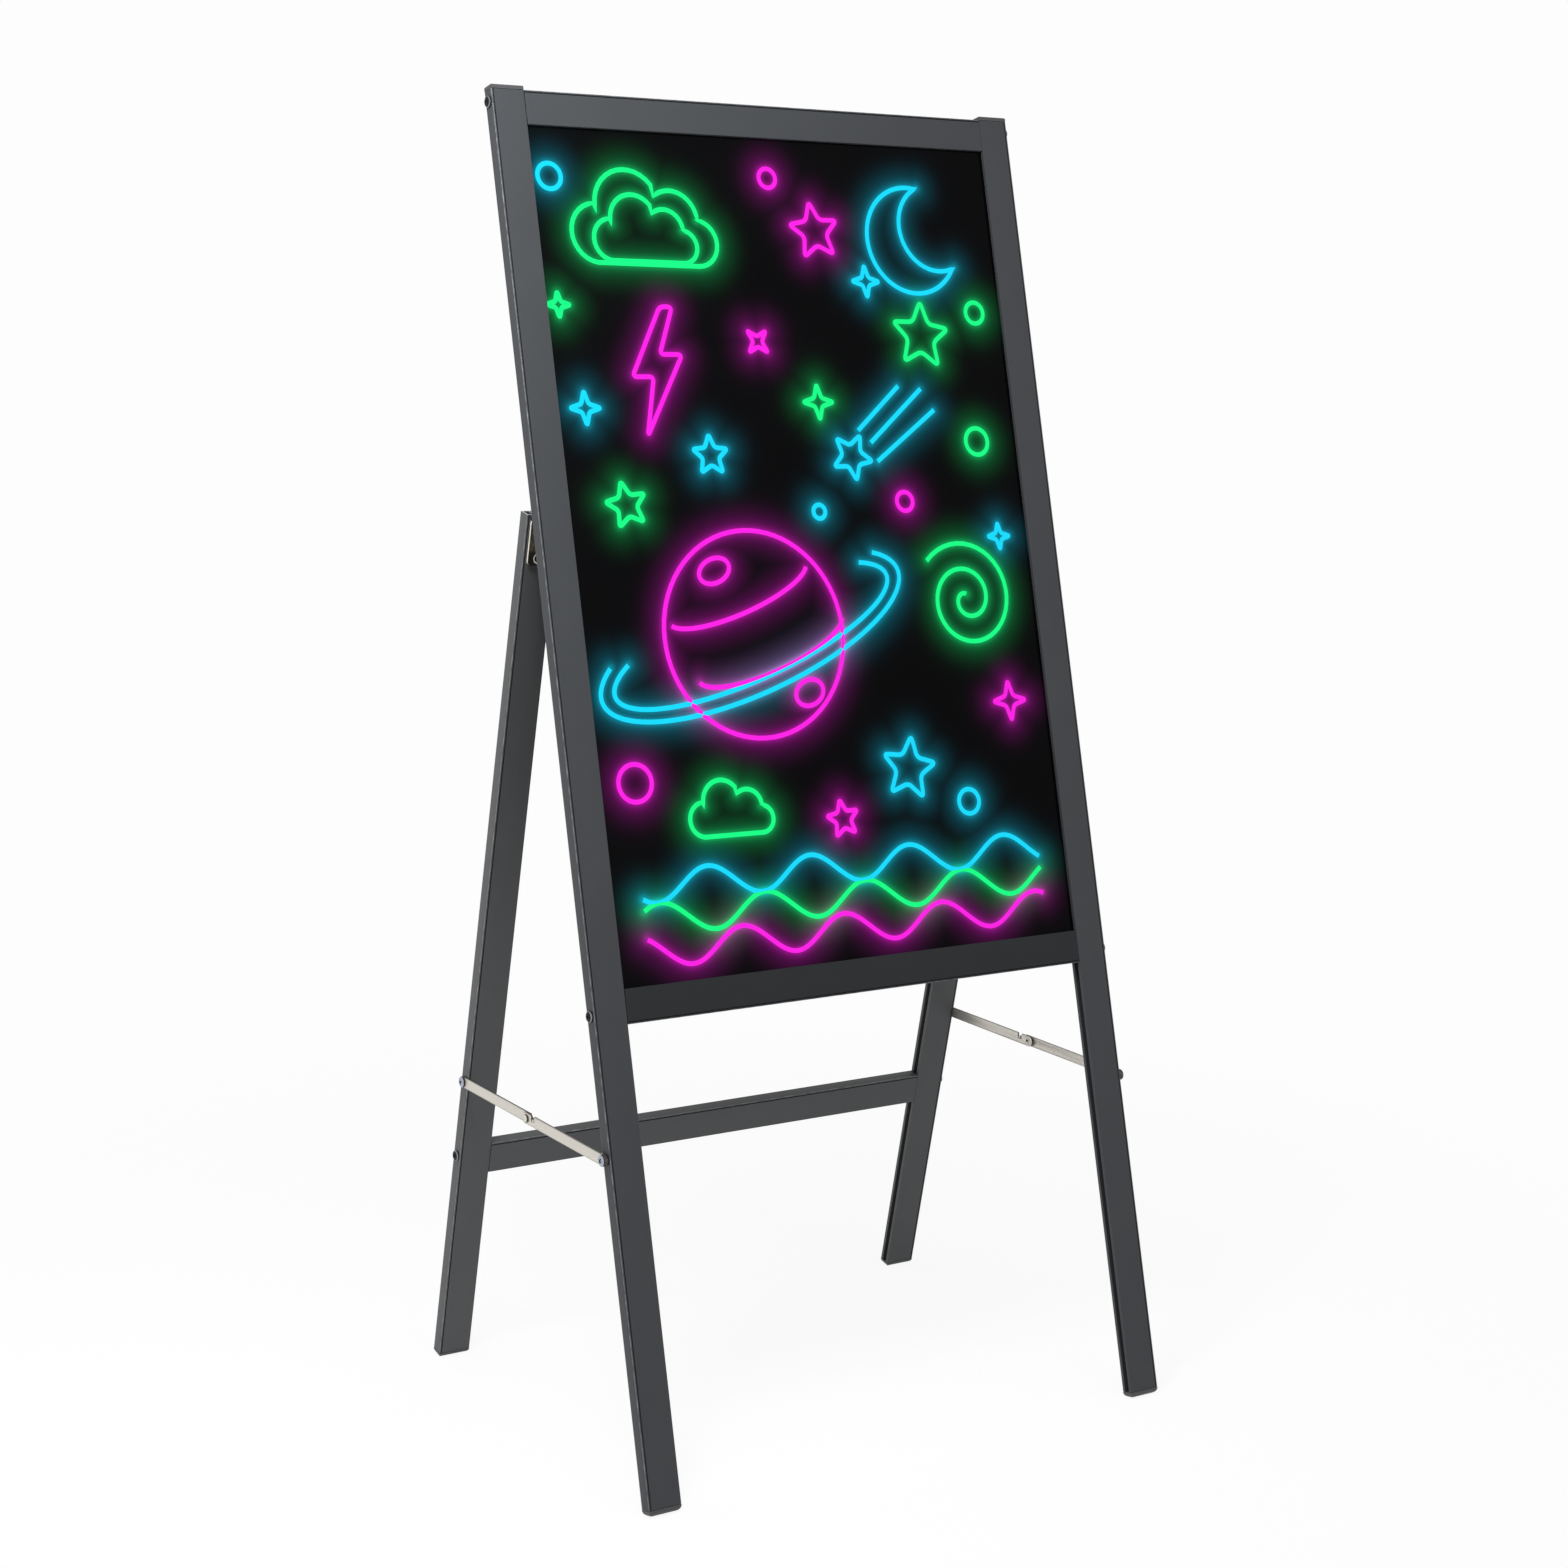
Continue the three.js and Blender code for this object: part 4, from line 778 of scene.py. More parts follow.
chip_count = int(TAPE_LENGTH // CHIP_PITCH)
for side, word in SIDES:
    ribbon = stock([rectangle(0, TAPE_LENGTH, -TAPE_WIDTH / 2, TAPE_WIDTH / 2)], TAPE_THICKNESS, tape_finish)
    tape = evaluated(ribbon, tape_tree, {
        "Pitch": CHIP_PITCH, "Count": chip_count, "Chip Length": CHIP_LENGTH, "Chip Width": CHIP_WIDTH,
        "Chip Height": CHIP_HEIGHT, "Start": (TAPE_LENGTH - (chip_count - 1) * CHIP_PITCH) / 2,
        "Tape": tape_finish, "Chip": chip_finish,
    })
    basis = Matrix(((0, 0, -side), (0, side, 0), (1, 0, 0))).to_4x4()
    stand = Matrix.Translation((side * TAPE_FACE, DEPTH / 2, OPENING_BOTTOM)) @ basis
    settle(f"light_tape_{word}", moved(tape, stand), FRONT, "front_frame", [f"led_strip_{word}"])

# Power inlet: a small round socket of black moulded plastic pressed into the back of the bottom rail, with a
# nickel contact pin in its bore. Only its flange stands out of the rail.
BORE_FLOOR = -5.7
CONTACT_RADIUS = 0.65
# Moulded polyamide: near black, with a fine spark-eroded grain that gives it a soft sheen
socket_finish = plastic(
    "moulded_black_polyamide", linear("0d0d0f"), linear("19191c"), 0.42, 2600.0, skin=(2600.0, 0.2, 0.0001),
)


def plated_steel(name, bright, dull, rough, metallic=1.0, strip_half=None):
    """Steel with a thin electroplated coat: hard and bright, a little uneven in tone, with fine marks from
    handling. A strip of a given half width is brushed along its length and has painted shade in the last
    millimetre before its edges. Its 0.1 mm brush lines are drawn 0.5 mm apart so that they show."""
    material, tree = new_material(name)
    place, scale = add(tree, "ShaderNodeTexCoord").outputs["Object"], 700.0
    if strip_half:
        strip = add(tree, "ShaderNodeAttribute", attribute_name="stock").outputs["Vector"]
        place, scale = add(tree, "ShaderNodeMapping", {"Vector": strip, "Scale": (0.02, 1.6, 1.6)}), 1.0
    marks = add(tree, "ShaderNodeTexNoise", {"Vector": place, "Scale": scale, "Detail": 3.0})
    tone = add(tree, "ShaderNodeMix", {"Factor": marks, 6: linear(dull), 7: linear(bright)}, data_type="RGBA")
    if strip_half:
        across = add(tree, "ShaderNodeSeparateXYZ", {0: strip}).outputs["Y"]
        offset = add(tree, "ShaderNodeMath", {0: across}, operation="ABSOLUTE")
        # Painted shade: the strip is coloured darker toward its edges
        edge_shade = add(tree, "ShaderNodeMapRange", {
            "Value": offset, "From Min": strip_half - 1.0, "From Max": strip_half - 0.2, "To Max": 0.45,
        })
        tone = add(tree, "ShaderNodeMix", {"Factor": edge_shade, 6: tone, 7: linear("6e6a62")}, data_type="RGBA")
    gloss = add(tree, "ShaderNodeMapRange", {
        "Value": marks, "From Min": 0.3, "From Max": 0.7, "To Min": rough - 0.03, "To Max": rough + 0.05,
    })
    bump = add(tree, "ShaderNodeBump", {
        "Height": marks, "Strength": 0.02 if strip_half else 0.1, "Distance": 0.00008,
    })
    surfaced(tree, {"Base Color": tone, "Roughness": gloss, "Normal": bump, "Metallic": metallic})
    return material


# Nickel over brass: a warm pale metal, bright where the plug wipes it
pin_finish = plated_steel("nickel_plated_contact", "c9c8c4", "a9a8a4", 0.25)
inlet = turned([
    (0, -8.1), (3.05, -8.1), (3.2, -7.95), (3.2, 0.3), (4.2, 0.3), (4.4, 0.5), (4.4, 1.25), (4.15, 1.5), (2.7, 1.5),
    (2.3, 1.15), (2.3, BORE_FLOOR), (CONTACT_RADIUS, BORE_FLOOR), (CONTACT_RADIUS, 0.35), (0.4, 0.6), (0, 0.6),
], 64)
inlet.materials.append(socket_finish)
inlet.materials.append(pin_finish)
for face in inlet.polygons:
    near_axis = max(math.hypot(*inlet.vertices[i].co.xy) for i in face.vertices) < CONTACT_RADIUS + 0.05
    face.material_index = int(near_axis and face.center.z > BORE_FLOOR - 0.1)
settle("power_inlet", moved(inlet, plug_in), FRONT, "front_frame", ["dc_inlet"])

# Screws: each is turned and cold-headed, then its cross recess is pressed in. One tree presses the recess in a
# screw and drives a copy at each place, each one stopped at its own angle.
PUNCH_TOP_SHARE = 0.78
PUNCH_TIP_SHARE = 0.3
PUNCH_OVERRUN_SHARE = 1.2
RIM_SHARE = 0.8
FLUSH_RIM_DEPTH = 0.25
screw_tree, given = new_tree("driven_screws", {
    "Blank": "Object", "Recess Span": "Float", "Recess Width": "Float", "Recess Depth": "Float", "Head Top": "Float",
    "Turn Seed": "Int", "Plating": "Material", "Rim Finish": "Material", "Recess Finish": "Material",
})
blank = add(screw_tree, "GeometryNodeObjectInfo", {"Object": given["Blank"]})
tall, wide, narrow = (
    add(screw_tree, "ShaderNodeMath", {0: given[label], 1: share}, operation="MULTIPLY")
    for label, share in (
        ("Recess Depth", PUNCH_OVERRUN_SHARE), ("Recess Span", PUNCH_TOP_SHARE), ("Recess Span", PUNCH_TIP_SHARE),
    )
)
punch = add(screw_tree, "GeometryNodeMeshCone", {
    "Vertices": 4, "Radius Top": wide, "Radius Bottom": narrow, "Depth": tall,
})
thin = add(screw_tree, "ShaderNodeMath", {0: given["Recess Width"], 1: given["Recess Span"]}, operation="DIVIDE")
under = add(screw_tree, "ShaderNodeMath", {0: given["Head Top"], 1: given["Recess Depth"]}, operation="SUBTRACT")
down = add(screw_tree, "ShaderNodeCombineXYZ", {"Z": under})
# The punch carries the recess finish, with its painted shade, into each recess
shade_painted_punch = add(screw_tree, "GeometryNodeSetMaterial", {"Geometry": punch, "Material": given["Recess Finish"]})
square = add(screw_tree, "GeometryNodeTransform", {"Geometry": shade_painted_punch, "Rotation": (0, 0, math.pi / 4)})
ratio = add(screw_tree, "ShaderNodeCombineXYZ", {"X": 1.0, "Y": thin, "Z": 1.0})
pressed = blank.outputs["Geometry"]
for angle in (0.0, math.pi / 2):
    wing = add(screw_tree, "GeometryNodeTransform", {
        "Geometry": square, "Translation": down, "Rotation": (0, 0, angle), "Scale": ratio,
    })
    pressed = add(screw_tree, "GeometryNodeMeshBoolean", {
        "Mesh 1": pressed, "Mesh 2": wing,
    }, operation="DIFFERENCE")
facing = add(screw_tree, "GeometryNodeInputNamedAttribute", {"Name": "outward"}, data_type="FLOAT_VECTOR")
aim = add(screw_tree, "FunctionNodeAlignRotationToVector", {"Vector": facing}, axis="Z")
# Input 3 is the greatest value of a random number; it starts at 0
stop = add(screw_tree, "FunctionNodeRandomValue", {3: math.pi / 2, "Seed": given["Turn Seed"]}, data_type="FLOAT")
spin = add(screw_tree, "ShaderNodeCombineXYZ", {"Z": stop})
turn = add(screw_tree, "FunctionNodeRotateRotation", {"Rotation": aim, "Rotate By": spin}, rotation_space="LOCAL")
driven = add(screw_tree, "GeometryNodeInstanceOnPoints", {
    "Points": given["Geometry"], "Instance": pressed, "Rotation": turn,
})
rims = add(screw_tree, "GeometryNodeMaterialSelection", {0: given["Rim Finish"]})
recesses = add(screw_tree, "GeometryNodeMaterialSelection", {0: given["Recess Finish"]})
bare = add(screw_tree, "FunctionNodeBooleanMath", {0: rims, 1: recesses}, operation="NOR")
ended(screw_tree, driven, (given["Plating"], bare))


def thread(start, end, crest, root, pitch):
    """The profile of a threaded shank, as one ridge for each turn."""
    turns = int((end - start) / pitch)
    return [
        *((radius, start + (i + half) * pitch) for i in range(turns) for radius, half in ((root, 0), (crest, 0.5))),
        (root, start + turns * pitch),
    ]


def pan_head(radius, height, seat):
    """The profile of a pan head above its seat: straight sides and a low rounded crown."""
    shares = (
        (0.97, 0), (1, 0.05), (1, 0.34), (0.965, 0.52), (0.88, 0.7), (0.72, 0.85), (0.5, 0.94), (0.25, 0.985), (0, 1),
    )
    return [(radius * across, seat + height * along) for across, along in shares]


def screws(name, profile, spots, recess, place, body, nodes, finishes, seed):
    """Screws of one kind on one body, driven at their (place, outward direction) spots. Their finishes are the
    plating and the rim's, with the least and greatest slope of the faces that count as the rim."""
    plating, rim, flattest, steepest = finishes
    blank_mesh = turned(profile, 40)
    blank_mesh.materials.append(None)
    blank_mesh.materials.append(rim)
    edge = RIM_SHARE * max(radius for radius, _ in profile)
    for face in blank_mesh.polygons:
        outer = math.hypot(*face.center.xy) > edge and face.center.z > -FLUSH_RIM_DEPTH
        face.material_index = int(outer and flattest <= abs(face.normal.z) <= steepest)
    blank_object = in_scene("blank", blank_mesh)
    points = mesh_of([at for at, _ in spots])
    facing = points.attributes.new("outward", "FLOAT_VECTOR", "POINT")
    facing.data.foreach_set("vector", [float(c) for _, way in spots for c in way])
    span, width, depth = recess
    mesh = evaluated(points, screw_tree, {
        "Blank": blank_object, "Recess Span": span, "Recess Width": width, "Recess Depth": depth,
        "Head Top": profile[-1][1], "Turn Seed": seed, "Plating": plating, "Rim Finish": rim,
        "Recess Finish": recess_finish,
    })
    bpy.data.objects.remove(blank_object)
    settle(name, mesh, place, body, nodes)


# Painted shade: each recess is coloured nearly black, where shade falls in it
recess_finish = plated_steel("screw_recess_painted_shade", "2c2c2e", "141415", 0.5, metallic=0.4)

# Rail screws: black zinc-plated pan heads, 8 mm across, through each upright into the screw port of a rail. Black
# passivated zinc is a soft charcoal, and the rim of each head is coloured pale grey as a painted highlight.
RAIL_RECESS = (4.4, 1.15, 1.5)
black_zinc = plated_steel("black_zinc_plated_steel", "232427", "161719", 0.38, metallic=0.85)
rubbed_zinc = plated_steel("rubbed_black_zinc_rim", "989a9e", "75777b", 0.3)
black_screw = (black_zinc, rubbed_zinc, 0.2, 0.8)
rail_profile = [
    (0, -37.3), (1.0, -36.4), *thread(-35.6, -14.0, 1.8, 1.45, 1.4), (1.75, -13.2), (1.75, 0.3),
    *pan_head(4.0, 2.2, 0.3),
]


def in_sides(heights):
    """Spots for screws in the outer sides of two uprights."""
    return [((side * HALF_WIDTH, DEPTH / 2, height), (side, 0, 0)) for height in heights for side, _ in SIDES]


screws("rail_screws", rail_profile, in_sides(rail_screw_heights), RAIL_RECESS, FRONT, "front_frame", [
    f"rail_screw_{level}_{word}" for level in ("bottom", "top") for _, word in SIDES
], black_screw, 4)
screws("cross_rail_screws", rail_profile, in_sides([cross_screw_height]), RAIL_RECESS, REAR, "rear_frame",
       [f"cross_rail_screw_{word}" for _, word in SIDES], black_screw, 9)

# Hinges: one butt hinge a side, inside the fold. Each is two pressed steel leaves with rolled knuckles on a pin,
# nickel plated, and each leaf is held by two countersunk cross-recess screws.
LEAF_WIDTH = 19.0
LEAF_LENGTH = 35.0
LEAF_THICKNESS = 1.6
LEAF_CORNER = 3.0
LEAF_INSET = 3.0
LEAF_EDGE = 0.45
KNUCKLE_RADIUS = 3.0
KNUCKLE_ROOT = 0.5
PIN_RADIUS = 1.2
PIN_CHAMFER, PIN_CHAMFER_LENGTH = 0.2, 0.25
PIN_OFFSET = 3.3
MIDDLE_EDGE = 3.5
HALF_LEAF = LEAF_WIDTH / 2
LEAF_FACE = FIT_GAP + LEAF_THICKNESS
HINGE_X = HALF_WIDTH - LEAF_INSET - HALF_LEAF
HINGE_SCREW_X = HALF_WIDTH - HINGE_SCREW_INSET
HINGE_RECESS = (4.2, 1.0, 1.1)
# Nickel coloured dull and warm as painted shade for the fold it sits in, with edges painted pale as a highlight line
leaf_finish = plated_steel("nickel_plated_hinge_steel_painted_shade", "8f897a", "6f6a5d", 0.2)
leaf_edge = plated_steel("nickel_plated_edge_painted_highlight", "f2eee4", "dedacf", 0.5, metallic=0.45)
# The hinge screws take the leaf's painted shade, with a painted highlight round their rims
flush_screw = (leaf_finish, leaf_edge, 0.0, 0.98)
flush_profile = [
    (0, -6.0), (0.9, -5.4), *thread(-5.0, -1.9, 1.65, 1.3, 0.7), (1.5, -1.75), (1.65, -1.55), (3.4, -0.27),
    (3.5, -0.17), (3.05, 0), (0, 0),
]
sink_profile = [(0, -6), (2.05, -4.35), (2.05, -1.6), (5.06, 1), (0, 1)]


def hinge_leaf(edge, inner, screw_x):
    """A leaf with Y as the distance from the face that carries it, and its pin along X at Z = 0. The inner leaf has
    the knuckle between two edges, and the outer one has the two beyond them."""
    reach = KNUCKLE_RADIUS + FIT_GAP
    barrels, gaps = [(-HALF_LEAF, -edge), (edge, HALF_LEAF)], [(-edge, edge)]
    if inner:
        barrels, gaps = gaps, barrels
    loop = [(x - HALF_LEAF, y - LEAF_LENGTH) for x, y in rounded_foot(LEAF_WIDTH, LEAF_LENGTH, LEAF_CORNER)[1:-1]]
    top = [(HALF_LEAF, 0)]
    for a, b in reversed(gaps):
        top += [(b, 0), (b, -reach), (a, -reach), (a, 0)]
    loop += list(dict.fromkeys([*top, (-HALF_LEAF, 0)]))
    plate = moved(stock([loop], LEAF_THICKNESS, leaf_finish), laid_back(0, LEAF_FACE, 0))
    pin_line = pointing("+X", (0, PIN_OFFSET, 0))
    knuckles = [moved(rod(KNUCKLE_RADIUS, a, b), pin_line) for a, b in barrels]
    leaf = evaluated(plate, cutters=knuckles, operation="UNION")
    bore = moved(rod(PIN_RADIUS + FIT_GAP, -LEAF_WIDTH, LEAF_WIDTH, 40), pin_line)
    sinks = [
        moved(turned(sink_profile, 40), pointing("+Y", (screw_x, LEAF_FACE, -drop))) for drop in HINGE_SCREW_DROPS
    ]
    leaf = evaluated(leaf, cutters=[bore, *sinks], bevel=LEAF_EDGE, segments=3)
    # The painted highlight of the edge shows all round the plate, below the knuckles
    for face in leaf.polygons:
        face.material_index = int(face.center.z < -reach - KNUCKLE_ROOT and abs(face.normal.y) < 0.9)
    return leaf


HINGE_HALVES = (
    ("front", FRONT, DEPTH, HINGE_HEIGHT, 1, MIDDLE_EDGE + FIT_GAP, 2),
    ("rear", REAR, 0, rear_hinge_height, -1, MIDDLE_EDGE, 7),
)
for side, word in SIDES:
    for kind, place, face_y, height, way, edge, _ in HINGE_HALVES:
        leaf = hinge_leaf(edge, kind == "rear", way * side * (HINGE_SCREW_X - HINGE_X))
        turn = Matrix.Rotation(0 if way > 0 else math.pi, 4, "Z")
        stand = Matrix.Translation((side * HINGE_X, face_y, height)) @ turn
        settle(f"hinge_leaf_{kind}_{word}_steel", moved(leaf, stand), place, f"{kind}_frame",
               [f"hinge_leaf_{kind}_{word}"], [leaf_finish, leaf_edge])
    ends = [(PIN_RADIUS - PIN_CHAMFER, HALF_LEAF), (PIN_RADIUS, HALF_LEAF - PIN_CHAMFER_LENGTH)]
    pin = turned([(0, -HALF_LEAF), *[(r, -z) for r, z in ends], *ends[::-1], (0, HALF_LEAF)])
    stand = pointing("+X", (side * HINGE_X, DEPTH + PIN_OFFSET, HINGE_HEIGHT))
    settle(f"hinge_pin_{word}_steel", moved(pin, stand), FRONT, "front_frame", [f"hinge_pin_{word}"],
           [leaf_finish])

for kind, place, face_y, height, way, _, seed in HINGE_HALVES:
    spots = [
        ((side * HINGE_SCREW_X, face_y + way * LEAF_FACE, height - drop), (0, way, 0))
        for drop in HINGE_SCREW_DROPS for side, _ in SIDES
    ]
    screws(f"hinge_screws_{kind}", flush_profile, spots, HINGE_RECESS, place, f"{kind}_frame", [
        f"hinge_screw_{kind}_{row}_{word}" for row in ("upper", "lower") for _, word in SIDES
    ], flush_screw, seed)

# Folding stays: two blanked steel bars a side, nickel plated and brushed, joined by a rivet with a rolled end and
# screwed to stile and leg. One bar's lug drops into the other's notch and stops the stay when it is straight.
BAR_HALF = 4.0
FRONT_BAR = 110.0
NOTCHED_END = 6.5
NOTCH_NEAR, NOTCH_FAR = 7.0, 11.5
LUG_NEAR, LUG_FAR, LUG_TOP = 8.3, 10.9, 1.5
NOSE_LENGTH = 12.5
JOURNAL_HOLE = 2.6
RIVET_HOLE = 2.0
STRIP_EDGE = 0.26
INNER = (0.3, 1.5)
OUTER = (1.8, 3.0)
STAY_RECESS = (4.4, 1.1, 1.25)


def middle(node):
    """The middle of a CAD piece, in millimetres."""
    low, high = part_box(node)
    return (low + high) * 500


front_pivot, rear_pivot = middle("stay_pivot_front_left"), middle("stay_pivot_rear_left")
to_rear = rear_pivot - front_pivot
to_rear.x = 0
REAR_BAR = to_rear.length - FRONT_BAR
to_rear.normalize()
stay_up = Vector((1, 0, 0)).cross(to_rear)
rivet_at = front_pivot + to_rear * FRONT_BAR


def round_hole(x, radius):
    """The outline of a round hole."""
    return arc(x, 0, radius, 0, 360, 32)[:-1]


def notched_bar(length):
    """The bar with the notch, from the round end at its pivot to the one just past the rivet at the origin."""
    return [
        *arc(length, 0, BAR_HALF, -90, 90, 18), (NOTCH_FAR, BAR_HALF), (NOTCH_FAR, -FIT_GAP), (NOTCH_NEAR, -FIT_GAP),
        (NOTCH_NEAR, BAR_HALF), *arc(BAR_HALF - NOTCHED_END, 0, BAR_HALF, 90, 270, 18),
    ]


def lugged_bar(length):
    """The bar with the lug, whose nose runs past the rivet, lower at the top."""
    radius = (BAR_HALF + LUG_TOP) / 2
    start, corner, end = (Vector(p) for p in ((-3, BAR_HALF), (-BAR_HALF, LUG_TOP), (-NOTCH_NEAR, LUG_TOP)))
    return [
        *arc(length, 0, BAR_HALF, -90, 90, 18), *bend(start, corner, end, 9),
        *arc(radius - NOSE_LENGTH, LUG_TOP - radius, radius, 90, 270, 18),
    ]


def lay(mesh, direction, side, near, far):
    """Lays flat stock beside the frames: X runs from the rivet toward the bar's pivot."""
    across = direction.cross(stay_up)
    start = side * (HALF_WIDTH + (near if across.x * side > 0 else far))
    basis = Matrix((direction, stay_up, across)).transposed().to_4x4()
    stand = Matrix.Translation((start, rivet_at.y, rivet_at.z)) @ basis
    return moved(mesh, stand), stand


# Nickel-plated strip has a pale warm sheen with brush lines, and painted shade on its narrow edges. The rivet is
# polished by its setting tool, the zinc-plated screws are bluish, and the sides of their heads have painted shade.
stay_finish = plated_steel("brushed_nickel_plated_strip", "d8d4cc", "bcb8af", 0.4, 0.85, BAR_HALF)
strip_edge_shade = plated_steel("strip_edge_painted_shade", "55504a", "3a3631", 0.5, metallic=0.7)
rivet_finish = plated_steel("nickel_plated_rivet", "e2ded6", "cbc7be", 0.3)
pivot_finish = plated_steel("bright_zinc_plated_steel", "bcc1cc", "959ba9", 0.28)
pivot_side_shade = plated_steel("screw_head_side_painted_shade", "2a2724", "171513", 0.4, metallic=0.5)
pivot_screw = (pivot_finish, pivot_side_shade, 0.0, 0.5)
rivet_profile = [
    (0, 1.3), (0.75, 1.15), (0.85, 0.75), (1.25, 0.4), (1.8, 0.3), (2.3, 0.38), (2.4, 0.55), (2.2, 0.8), (1.75, 1.05),
    (1.7, 3.3), *pan_head(3.0, 1.1, 3.3),
]
front_pivot_profile = [
    (0, -8.5), (1.0, -7.8), *thread(-7.2, -0.4, 1.8, 1.45, 0.7), (1.8, 0.1), (1.8, 0.3), (3.6, 0.3), (3.7, 0.4),
    (3.7, 1.4), (3.6, 1.5), (2.3, 1.5), (2.3, 3.3), *pan_head(4.1, 1.8, 3.3),
]
rear_pivot_profile = [(0, 0.3), (2.2, 0.3), (2.3, 0.4), (2.3, 1.8), *pan_head(4.1, 1.8, 1.8)]

for side, word, front_kind, rear_kind in (
    (-1, "left", notched_bar, lugged_bar), (1, "right", lugged_bar, notched_bar),
):
    at_rivet = outward(side, HALF_WIDTH, rivet_at.y, rivet_at.z)
    for kind, length, direction, planes, end in (
        (front_kind, FRONT_BAR, -to_rear, OUTER, "front"), (rear_kind, REAR_BAR, to_rear, INNER, "rear"),
    ):
        loops = [kind(length), round_hole(0, RIVET_HOLE), round_hole(length, JOURNAL_HOLE)]
        bar, stand = lay(stock(loops, planes[1] - planes[0], stay_finish), direction, side, *planes)
        if kind is lugged_bar:
            tab = stock([rectangle(-LUG_FAR, -LUG_NEAR, 0, LUG_TOP)], OUTER[1] - INNER[0], stay_finish)
            tab, _ = lay(tab, direction, side, INNER[0], OUTER[1])
            bar = evaluated(bar, cutters=[tab], operation="UNION")
        if planes is INNER:
            sink = turned([(0, -1.0), (3.8, -1.0), (2.1, 1.0), (0, 1.0)], 40)
            bar = evaluated(bar, cutters=[moved(sink, at_rivet)])
        bar = evaluated(bar, bevel=STRIP_EDGE)
        # The narrow sides have painted shade; the bars lie flat against the board's sides
        for face in bar.polygons:
            face.material_index = int(abs(face.normal.x) < 0.6)
        settle(f"stay_bar_{end}_{word}", bar, METRES, f"{end}_bar_{word}", [f"stay_link_{end}_{word}"],
               [stay_finish, strip_edge_shade], stand)
    # The rivet's wall has the same painted shade as the strip edges, and the hollow of its rolled end has painted
    # shade
    rivet = turned(rivet_profile)
    for face in rivet.polygons:
        radius = math.hypot(*face.center.xy)
        wall = radius > 1.7 and abs(face.normal.z) < 0.8
        face.material_index = 1 if wall else 2 if radius < 1.3 and face.center.z < 1.4 else 0
    settle(f"rivet_{word}", moved(rivet, at_rivet), METRES, f"front_bar_{word}", [f"stay_rivet_{word}"],
           [rivet_finish, strip_edge_shade, recess_finish])
    spot = ((side * HALF_WIDTH, rear_pivot.y, rear_pivot.z), (side, 0, 0))
    screws(f"rear_stay_screw_{word}", rear_pivot_profile, [spot], STAY_RECESS, METRES, f"rear_bar_{word}",
           [f"stay_pivot_rear_{word}"], pivot_screw, 3 + side)
spots = [((side * HALF_WIDTH, front_pivot.y, front_pivot.z), (side, 0, 0)) for side, _ in SIDES]
screws("front_stay_screws", front_pivot_profile, spots, STAY_RECESS, METRES, "front_frame",
       [f"stay_pivot_front_{word}" for _, word in SIDES], pivot_screw, 6)

# Floor, backdrop and light: a seamless white paper sweep in a soft white room that is brighter toward the left and
# front, with a low lamp from the left for the side faces, one near the upper left corner and a weak one in front.
# Metal and camera see the paper and the room as white; all other light from them is plain and soft.
FLOOR_RADIUS = 14
built = bmesh.new()
bmesh.ops.create_circle(built, cap_ends=True, segments=64, radius=FLOOR_RADIUS)
floor = in_scene("floor", finished(built))


def shown_rays(tree):
    """1 for the rays that show a surface: to the camera, in a reflection or through glass."""
    ray = add(tree, "ShaderNodeLightPath").outputs
    seen = add(tree, "ShaderNodeMath", {0: ray["Is Camera Ray"], 1: ray["Is Glossy Ray"]}, operation="MAXIMUM")
    return add(tree, "ShaderNodeMath", {0: seen, 1: ray["Is Transmission Ray"]}, operation="MAXIMUM")


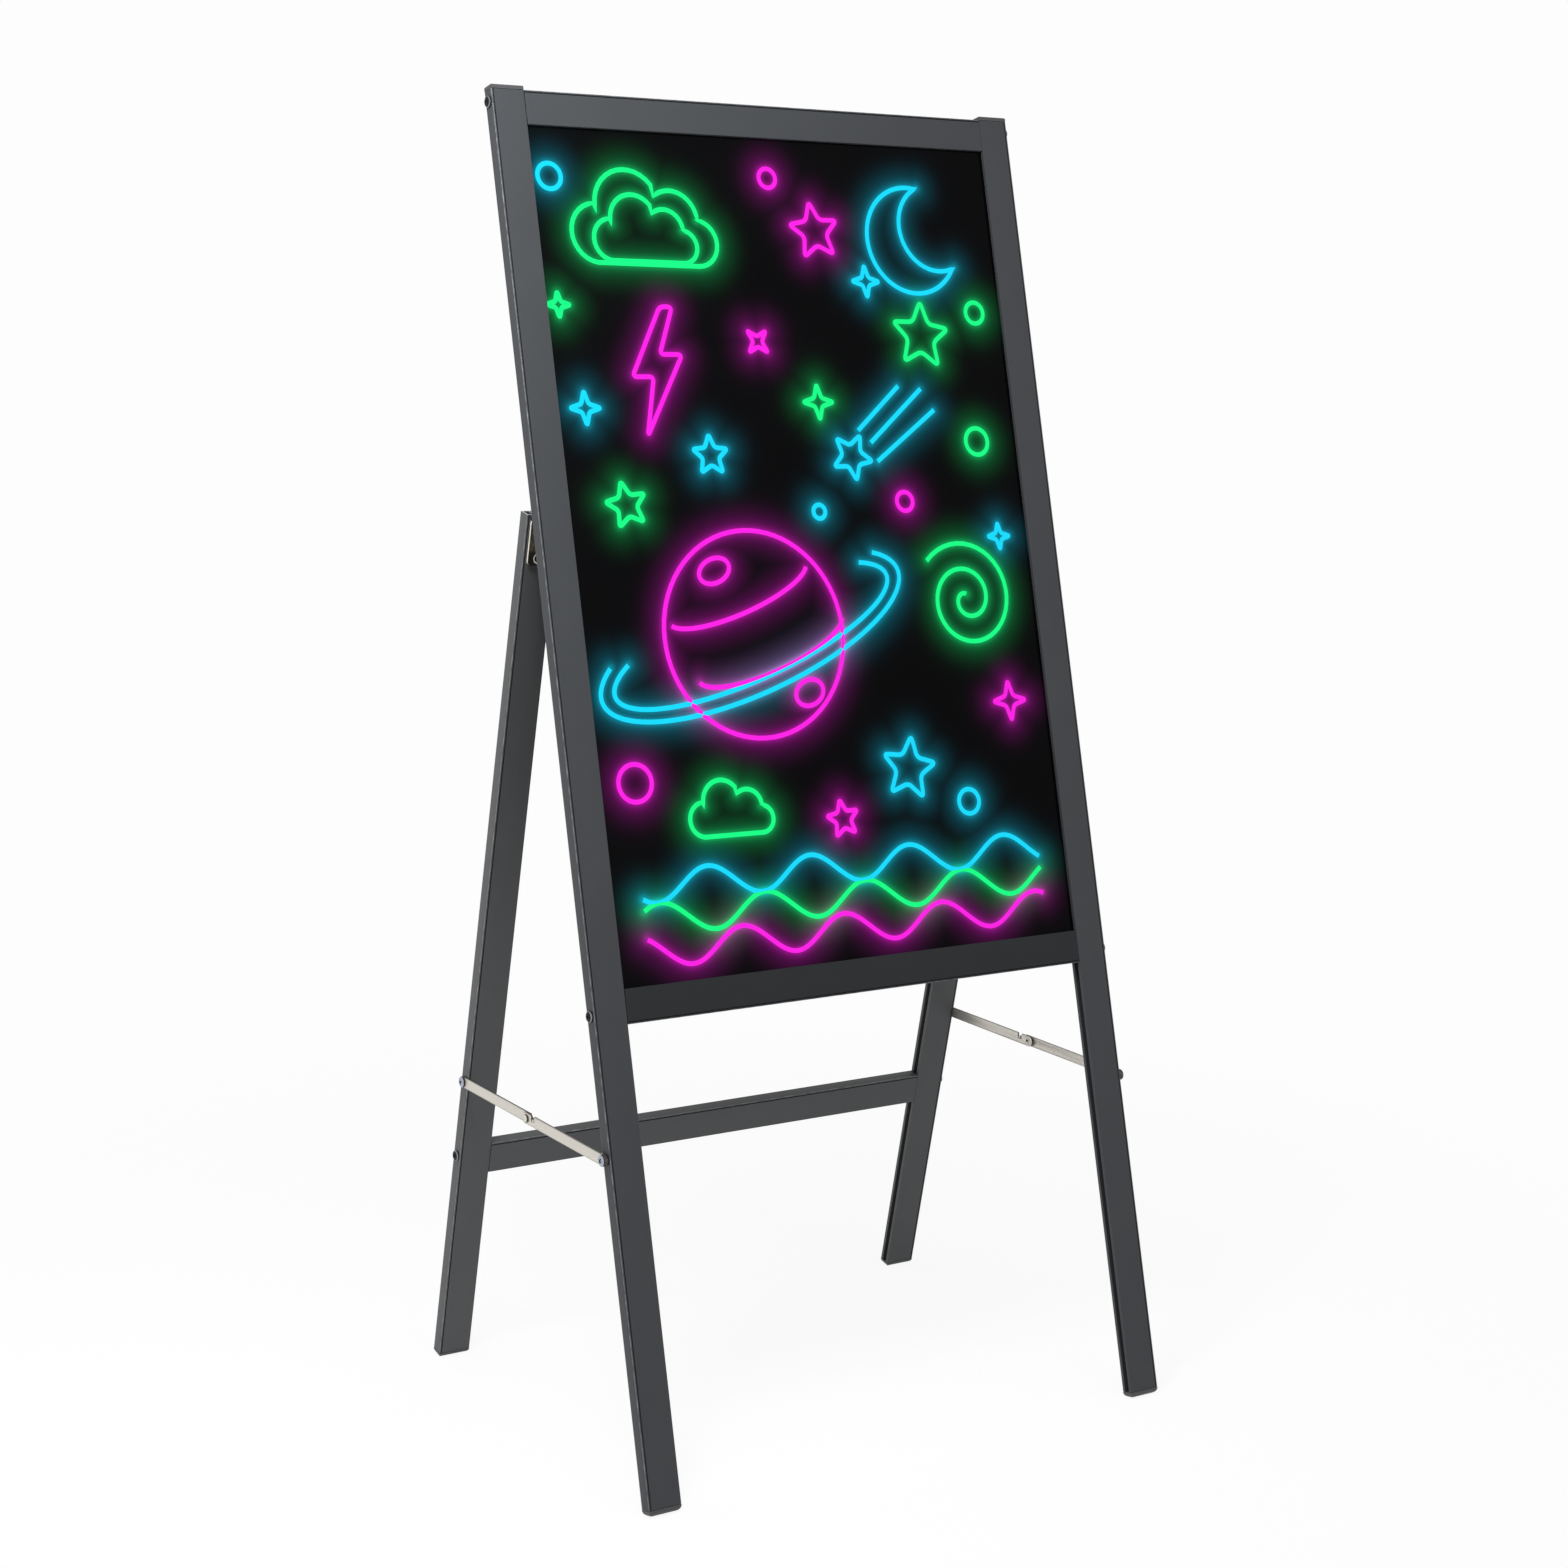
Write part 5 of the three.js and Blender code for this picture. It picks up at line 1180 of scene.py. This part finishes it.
# Matt white paper: its own shade near the board shows through a little, and fades out into the white sweep
paper, tree = new_material("white_paper_floor")
diffuse = add(tree, "ShaderNodeBsdfDiffuse", {"Color": linear("f4f4f4")})
white = add(tree, "ShaderNodeEmission", {"Color": linear("fdfdfd"), "Strength": 1.0})
away = add(tree, "ShaderNodeVectorMath", {0: add(tree, "ShaderNodeTexCoord").outputs["Object"]}, operation="LENGTH")
near = add(tree, "ShaderNodeMapRange", {
    "Value": away, "From Min": 0.35, "From Max": 1.1, "To Min": 0.91, "To Max": 1.0,
}, interpolation_type="SMOOTHSTEP")
seen = add(tree, "ShaderNodeMath", {0: shown_rays(tree), 1: near}, operation="MULTIPLY")
blend = add(tree, "ShaderNodeMixShader", {0: seen, 1: diffuse, 2: white})
add(tree, "ShaderNodeOutputMaterial", {"Surface": blend})
floor.data.materials.append(paper)

world = bpy.data.worlds.new("white_room")
bpy.context.scene.world = world
world.use_nodes = True
tree = world.node_tree
tree.nodes.clear()
way = add(tree, "ShaderNodeTexCoord").outputs["Generated"]
toward = add(tree, "ShaderNodeVectorMath", {0: way, 1: (-0.7, -0.6, 0.35)}, operation="DOT_PRODUCT")
level = add(tree, "ShaderNodeMapRange", {
    "Value": toward, "From Min": -1.0, "From Max": 1.0, "To Min": 0.42, "To Max": 0.9,
})
soft = add(tree, "ShaderNodeBackground", {"Color": linear("ffffff"), "Strength": level})
bright = add(tree, "ShaderNodeBackground", {"Color": linear("fdfdfd"), "Strength": 1.0})
pick = add(tree, "ShaderNodeMixShader", {0: shown_rays(tree), 1: soft, 2: bright})
add(tree, "ShaderNodeOutputWorld", {"Surface": pick})

# Only the wide front lamp shows in reflections: the other two would draw hard spots on metal seen edge-on
for name, place, energy, width in (
    ("left_lamp", (-1.1, 0.3, 0.06), 10.0, 0.6), ("front_lamp", (0.4, -3.0, 2.0), 12.0, 2.0),
    ("corner_lamp", (-0.47, -0.27, 1.2), 9.0, 0.25),
):
    lamp = in_scene(name, bpy.data.lights.new(name, "AREA"))
    lamp.data.energy = energy
    lamp.data.size = width
    lamp.location = place
    lamp.rotation_euler = (Vector((-0.1, 0, 0.6)) - lamp.location).to_track_quat("-Z", "Y").to_euler()
    lamp.visible_glossy = name == "front_lamp"
    lamp.visible_camera = False

bpy.context.scene.view_settings.view_transform = "Standard"
